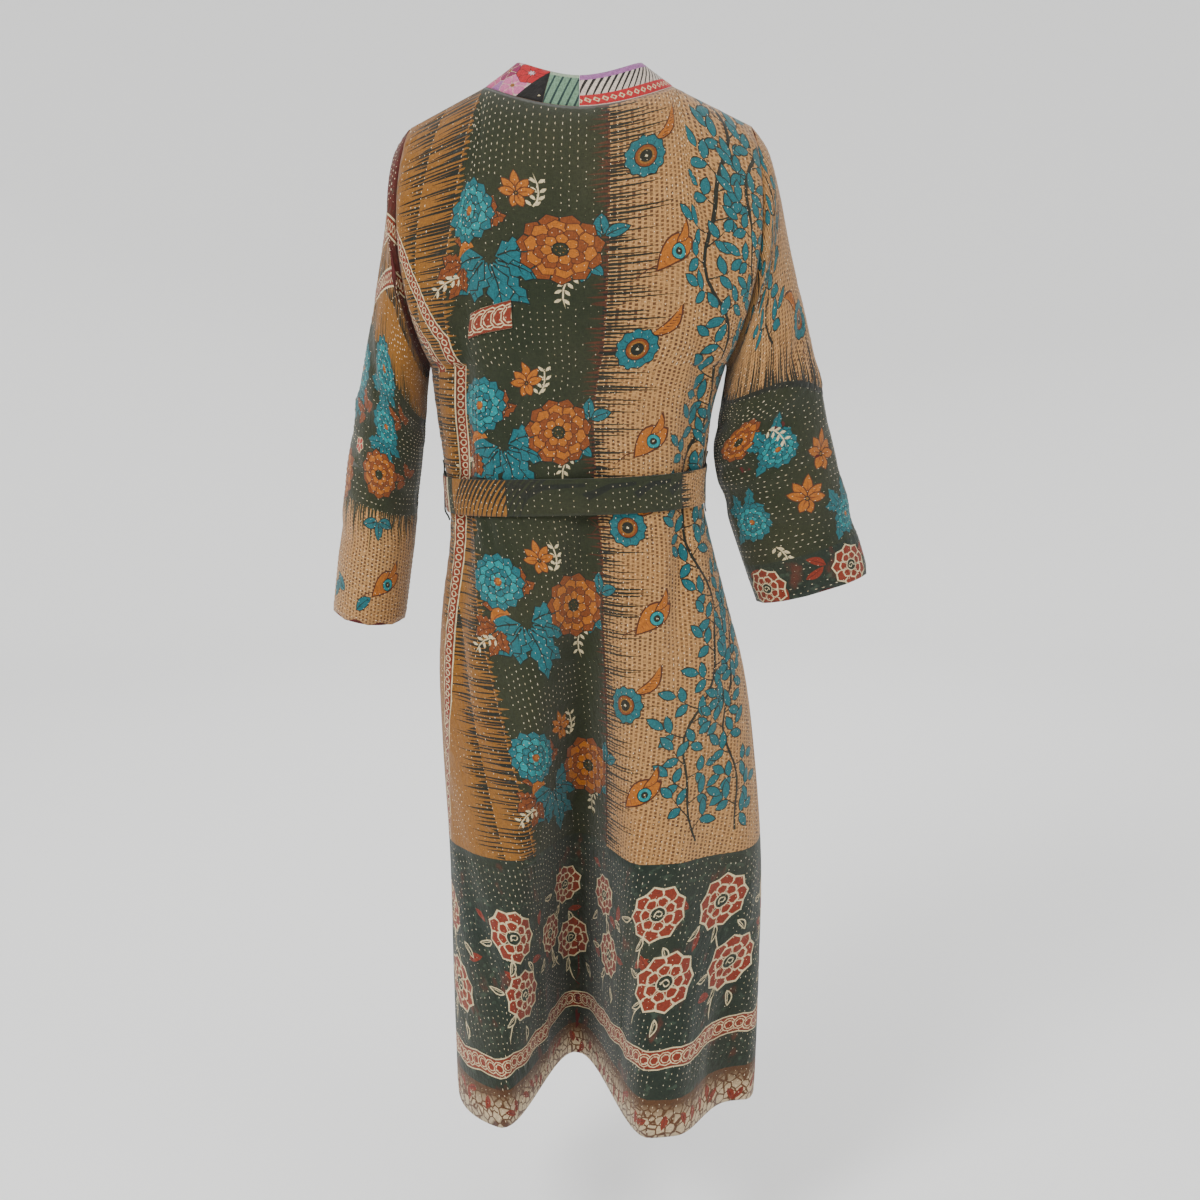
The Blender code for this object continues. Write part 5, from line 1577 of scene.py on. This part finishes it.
def flower_patch_print(width):
    cloth = Print(paint(226, 190, 196))
    cloth.zone(PINK, -width, -width * 0.1, -60, -22)
    cloth.zone(MAUVE, -width * 0.45, width * 0.1, -24, 2)
    for across, rise, turn, size, ink in (
            (-26, 12, 0, 0.62, PINK), (-8, 30, 20, 0.7, paint(150, 30, 90)),
            (10, 12, 40, 0.66, paint(226, 120, 168)), (-36, 34, 10, 0.5, MAUVE)):
        block = Block(cloth, across, -rise, turn, size)
        petal_ring(block, 6, 2, 24, 20, ink, CREAM, fullness=1.5)
        block.ink(MUSTARD, disc(0, 4))
    block = Block(cloth, width * 0.2, -34, 0, 0.8)
    petal_ring(block, 7, 2, 19, 15, SCARLET, RUST_DARK, fullness=1.5)
    cloth.ink(BLACK, np.array((width * 0.22 - 0j, width * 0.6, width * 0.6 + 60j, width * 0.36 + 60j)))
    for place in range(4):
        cloth.ink(CREAM, disc(width * 0.42 + 2 * place + (8 + 9 * place) * 1j, 1.6, points=6))
    return cloth


def striped_patch_print(width):
    cloth = Print(SAGE)
    for place in range(5):
        base = -width / 2 + 3 + place * width / 4.6
        cloth.ink(paint(34, 60, 60), stroke((base - 3, base + 3 + 22j, base + 10 + 46j), 2.6, 2.0))
    cloth.zone(paint(170, 190, 160), -width, width, -60, -39)
    return cloth


def border_patch_print(width):
    cloth = Print(paint(230, 212, 196))
    for place in range(22):
        base = -width / 2 + place * width / 21
        line = curve(base + 14j, base + 6 + 22j, base + 20 + 38j)
        cloth.ink(BLACK, stroke(line, 1.2, 2.4))
    cloth.zone(MAUVE, -width, width, -60, -36)
    cloth.zone(SCARLET, -width, width, -15, -1)
    for place in np.arange(-width / 2 + 4, width / 2, 8.0):
        diamond = np.array((0, 3.4 - 4j, 6.8, 3.4 + 4j)) + place - 3.4 + 8j
        cloth.ink(CREAM, diamond)
        cloth.ink(SCARLET, (diamond - diamond.mean()) * 0.5 + diamond.mean())
    cloth.zone(BLACK, width * 0.42, width, -60, -14)
    return cloth


sage_cotton = cotton_material("sage_striped_cotton")
# Name, first and last column, node, slot, print, cloth
NECK_PATCHES = (
    ("neck_flower_patch", 0, 36, "neckband_floral", "band_floral", flower_patch_print, band_cottons[-1]),
    ("neck_striped_patch", 36, 48, "neckband_striped", "band_striped", striped_patch_print, sage_cotton),
    ("neck_border_patch", 48, 96, "neckband_bordered", "band_bordered", border_patch_print, band_cottons[1]),
)
neck_points, neck_levels = neckband_points()
for name, first, last, node, slot, patch_print, cotton in NECK_PATCHES:
    points = neck_points[:, first:last + 1].copy()
    if first:
        step = points[1, 1] - points[1, 0]
        points[:, 0] += step / np.linalg.norm(step) * SEAM_GAP
    surface = Surface(points, neck_levels, axis=(NECK_CENTRE, 0.0))
    relief = quilted_relief(surface, [], rise=0.0003)
    cloth = patch_print(surface.flat_size()[0] / MM)
    patch = sewn_piece(name, surface, cloth, relief, (cotton, pale_lining),
                       step_across=0.0035, step_down=0.004, inner_step=0.006)
    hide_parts(node)

# Belt, its knot and its ends
# One long strip of the same printed cotton, folded and stitched flat. It runs round the waist
# through two loops and is knotted in front, and its two ends hang down over the fronts.
BELT_HEIGHT = 0.043
BELT_CENTRE = -0.441
BELT_TILT = 0.035
BELT_CLEARANCE = 0.0023
BELT_WALL = 0.0020
BELT_COLUMNS = 240
BELT_ROWS = 8
BELT_CROWN = 0.0010
BELT_LATTICE_DOWN = 0.004
BELT_INNER_STEP = 0.008
BELT_QUILT_RISE = 0.0005
# Across, down, length, width, lean in degrees, depth. The right side is drawn into lengthwise folds
BELT_CREASES = (
    (0.150, -0.006, 0.100, 0.012, 84, 0.0016), (0.170, 0.008, 0.110, 0.010, 94, 0.0018),
    (0.120, 0.002, 0.090, 0.010, 88, -0.0010), (-0.060, -0.004, 0.160, 0.012, 92, 0.0009),
    (0.040, 0.007, 0.180, 0.012, 87, 0.0010), (-0.190, 0.004, 0.080, 0.012, 96, 0.0014),
    (-0.330, 0.002, 0.120, 0.012, 86, 0.0014), (0.330, -0.003, 0.120, 0.012, 93, 0.0014),
)
KNOT_SIZE = (0.044, 0.020, 0.046)
KNOT_CUTS = 3
KNOT_WRAP_PITCH = 5.0
KNOT_WRAP_SLANT = 0.55
KNOT_WRAP_SWELL = 0.10
KNOT_PINCH = 0.16
KNOT_PINCH_WIDTH = 0.28
TAIL_START = 0.0125
TAIL_DRIFTS = {-1: -0.050, 1: 0.030}
TAIL_ROWS = 60
TAIL_COLUMNS = 11
TAIL_TOP_HALF_WIDTH = 0.010
TAIL_SPREAD = 0.010
TAIL_CLEARANCE = 0.0037
TAIL_RIPPLE = 0.0015
TAIL_QUILT_RISE = 0.0004


def belt_middle(across):
    return BELT_CENTRE + BELT_TILT * across


def belt_points():
    """Rings round the waist from the lower edge up, that start and end in front."""
    turns = np.linspace(np.pi / 2, np.pi * 5 / 2, BELT_COLUMNS + 1)
    right = read_table(BODY, BELT_CENTRE, 2)
    left = read_table(BODY, BELT_CENTRE, 1)
    across = (left + right) / 2 + (right - left) / 2 * np.cos(turns)
    rows = []
    for share in np.linspace(-1.0, 1.0, BELT_ROWS + 1):
        height = belt_middle(across) + share * BELT_HEIGHT / 2
        crown = BELT_CROWN * (1 - share ** 2)
        out = BELT_CLEARANCE + BELT_WALL + crown
        low = read_table(BODY, height, 1) - out
        high = read_table(BODY, height, 2) + out
        depth = np.where(np.sin(turns) > 0, read_table(BODY, height, 4), read_table(BODY, height, 3)) + out
        reach = np.sign(np.cos(turns)) * abs(np.cos(turns)) ** (2 / ROUNDNESS)
        into = np.sign(np.sin(turns)) * abs(np.sin(turns)) ** (2 / ROUNDNESS)
        rows.append(np.stack(((low + high) / 2 + (high - low) / 2 * reach, depth * into, height), axis=1))
    return np.array(rows), np.linspace(-BELT_HEIGHT / 2, BELT_HEIGHT / 2, BELT_ROWS + 1)


def belt_print(width, whole):
    """Dark green with tapered streaks. The whole belt has the columns and the chain strip too."""
    cloth = Print(OLIVE)
    for place in np.arange(-width / 2, width / 2, 46.0):
        cloth.ink(INK, stroke((place, place + 20 + 12j, place + 46 + 14j), 9, 4))
    if whole:
        cloth.zone(MUSTARD, -150, -58, -60, 60)
        for place in np.arange(-150, -40, 7.0):
            line = curve(place - 24j, place + 4 - 4j, place + 30 + 26j)
            cloth.ink(INK, stroke(line, 1.4, 4.0))
        for low, high, ink in (
                (-210, -200, CREAM), (-200, -172, RUST), (-172, -166, CREAM), (-166, -150, OLIVE)):
            cloth.zone(ink, low, high, -60, 60)
        for rise in range(-20, 24, 9):
            cloth.ink(CREAM, disc(-186 + 1j * rise, 4.4, points=9))
            cloth.ink(RUST, disc(-186 + 1j * rise, 2.6, points=8))
        cloth.zone(TAN, 118, 190, -60, 60, DASHED)
        streaks(cloth, 118, -24, 24, 40, INK, 82, 3.4)
    return cloth


belt_cotton = cotton_material("belt_cotton")
belt_surface = Surface(*belt_points())
belt_relief = quilted_relief(belt_surface, BELT_CREASES, rise=BELT_QUILT_RISE)
belt = sewn_piece("tied_belt", belt_surface, belt_print(1000, True), belt_relief, (belt_cotton, belt_cotton),
                  BELT_WALL, step_down=BELT_LATTICE_DOWN, inner_step=BELT_INNER_STEP)
belt_stitches = running_stitches("belt_stitches", belt_surface, belt_relief, cream_thread, 81)
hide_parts("belt")

knot_low, knot_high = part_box("belt_knot")
knot_middle = (knot_low + knot_high) / 2
bpy.ops.mesh.primitive_cube_add(size=1.0, location=(0, 0, 0))
knot = bpy.context.object
knot.name = "belt_tie_knot"
bpy.ops.object.mode_set(mode="EDIT")
bpy.ops.mesh.subdivide(number_cuts=KNOT_CUTS)
bpy.ops.object.mode_set(mode="OBJECT")
rounding = knot.modifiers.new("rounding", "SUBSURF")
rounding.levels = rounding.render_levels = 3
bpy.ops.object.modifier_apply(modifier="rounding")
for vertex in knot.data.vertices:
    x, y, z = vertex.co * 2
    turn = math.atan2(z, x * 0.9 + 0.15)
    wrap = 0.5 + 0.5 * math.cos(KNOT_WRAP_PITCH * (z + KNOT_WRAP_SLANT * x))
    swell = 0.90 + KNOT_WRAP_SWELL * wrap - 0.10 * abs(x) ** 3
    pinch = 1 - KNOT_PINCH * math.exp(-((x + 0.1) / KNOT_PINCH_WIDTH) ** 2)
    vertex.co = (
        knot_middle.x + x * KNOT_SIZE[0] / 2 * (0.96 + 0.04 * math.cos(2 * turn)),
        knot_middle.y + y * KNOT_SIZE[1] / 2 * swell,
        knot_middle.z + z * KNOT_SIZE[2] / 2 * pinch,
    )
for polygon in knot.data.polygons:
    polygon.use_smooth = True
knot_cotton = lining_material("knot_cotton", OLIVE, INK)
knot.data.materials.append(knot_cotton)
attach(knot, "root")
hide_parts("belt_knot")
bpy.ops.object.select_all(action="DESELECT")

for name, node in (("belt_tail_left", "belt_end_left"), ("belt_tail_right", "belt_end_right")):
    low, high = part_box(node)
    side = -1 if node.endswith("left") else 1
    length = high.z - low.z
    rows = []
    shares = np.linspace(1.0, 0.0, TAIL_ROWS)
    for share in shares:
        height = high.z - length * share
        half_width = TAIL_TOP_HALF_WIDTH + TAIL_SPREAD * ease(0.0, 0.35, share)
        across = side * TAIL_START + TAIL_DRIFTS[side] * share
        across = across + np.linspace(-half_width, half_width, TAIL_COLUMNS)
        left, right = read_table(BODY, height, 1), read_table(BODY, height, 2)
        offset = np.minimum(abs((across - (left + right) / 2) / ((right - left) / 2)), 1.0)
        level = read_table(BODY, height, 4) * (1 - offset ** ROUNDNESS) ** (1 / ROUNDNESS)
        resting = level + SEAM_GAP / 2 + TAIL_CLEARANCE
        hang = knot_middle.y - BELT_WALL / 2
        free = ease(0.0, 0.55, share)
        into = np.maximum(hang + (resting - hang) * free, resting) + BELT_WALL
        into = into + TAIL_RIPPLE * np.sin(across * 260 + share * 4)
        rows.append(np.stack((across, into, np.full(across.shape, height)), axis=1))
    surface = Surface(np.array(rows), -length * shares)
    relief = quilted_relief(surface, [], rise=TAIL_QUILT_RISE)
    tail = sewn_piece(name, surface, belt_print(60, False), relief, (belt_cotton, belt_cotton), BELT_WALL,
                      inner_step=BELT_INNER_STEP)
    stitches = running_stitches(name + "_stitches", surface, relief, cream_thread, 90 + side)
    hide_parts(node)

# Belt loops
# A narrow dark tape at each side seam, sewn above and below the belt, that holds it up.
LOOP_HALF_WIDTH = 0.003
LOOP_WALL = 0.0012
LOOP_REST = 0.0014
LOOP_LIFT = 0.0050
LOOP_CROWN = 0.0004
LOOP_ROWS = 28
LOOP_COLUMNS = 5
loop_tape = cotton_material("dark_loop_tape")
for side, name in ((-1, "left"), (1, "right")):
    low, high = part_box("belt_loop_" + name)
    middle = (low.z + high.z) / 2
    rows = []
    heights = np.linspace(low.z, high.z, LOOP_ROWS)
    for height in heights:
        over = 1 - ease(BELT_HEIGHT / 2 + 0.002, (high.z - low.z) / 2, abs(height - middle))
        column = 1 if side < 0 else 2
        body = abs(read_table(BODY, middle, column)) * over
        body += abs(read_table(BODY, height, column)) * (1 - over)
        reach = body + LOOP_REST + (LOOP_LIFT - LOOP_REST) * over + LOOP_WALL
        across = np.linspace(-LOOP_HALF_WIDTH, LOOP_HALF_WIDTH, LOOP_COLUMNS)
        crown = LOOP_CROWN * (1 - (across / LOOP_HALF_WIDTH) ** 2)
        rows.append(np.stack((side * (reach + crown), side * across, np.full(LOOP_COLUMNS, height)), axis=1))
    surface = Surface(np.array(rows), heights - heights[0])
    relief = quilted_relief(surface, [], rise=0.0)
    loop = sewn_piece("waist_loop_" + name, surface, Print(INK), relief, (loop_tape, loop_tape), LOOP_WALL,
                      step_across=0.0015, step_down=0.002, inner_step=0.002)
    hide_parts("belt_loop_" + name)

# Patch
# A small slanting scrap of a chain border, sewn flat on the back over a worn place.
PATCH_LIFT = 0.0012
PATCH_WALL = 0.0010
PATCH_LENGTH = 0.028
PATCH_ROWS = 20
PATCH_COLUMNS = 32
# Across and down on the flat back, from the lower left corner round
PATCH_CORNERS = ((-0.112, 0.262), (-0.060, 0.249), (-0.059, 0.219), (-0.102, 0.235))
low_left, low_right, high_right, high_left = (complex(across, -down) for across, down in PATCH_CORNERS)
rows = []
share = np.linspace(0.0, 1.0, PATCH_COLUMNS)
for rise in np.linspace(0.0, 1.0, PATCH_ROWS):
    low = low_left + (low_right - low_left) * share
    high = high_left + (high_right - high_left) * share
    places = low + (high - low) * rise
    points, normals = back_surface.place(places.real, places.imag)
    crease = np.minimum(back_relief(places.real, places.imag), 0.0)
    rows.append(points + normals * (QUILT_RISE + PATCH_LIFT + crease[:, None]))
patch_surface = Surface(np.array(rows), np.linspace(-PATCH_LENGTH, 0.0, PATCH_ROWS))
patch_relief = quilted_relief(patch_surface, [], rise=0.0003)
patch_cloth = Print(RUST)
chain_strip(patch_cloth, (-40 - 14j, 40 - 14j), 31.0, 12.0)
patch = sewn_piece("back_chain_patch", patch_surface, patch_cloth, patch_relief,
                   (sleeve_cotton, pale_lining), PATCH_WALL, step_down=0.004, inner_step=0.004)
patch_stitches = running_stitches("patch_stitches", patch_surface, patch_relief, cream_thread, 99)
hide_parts("back_patch")
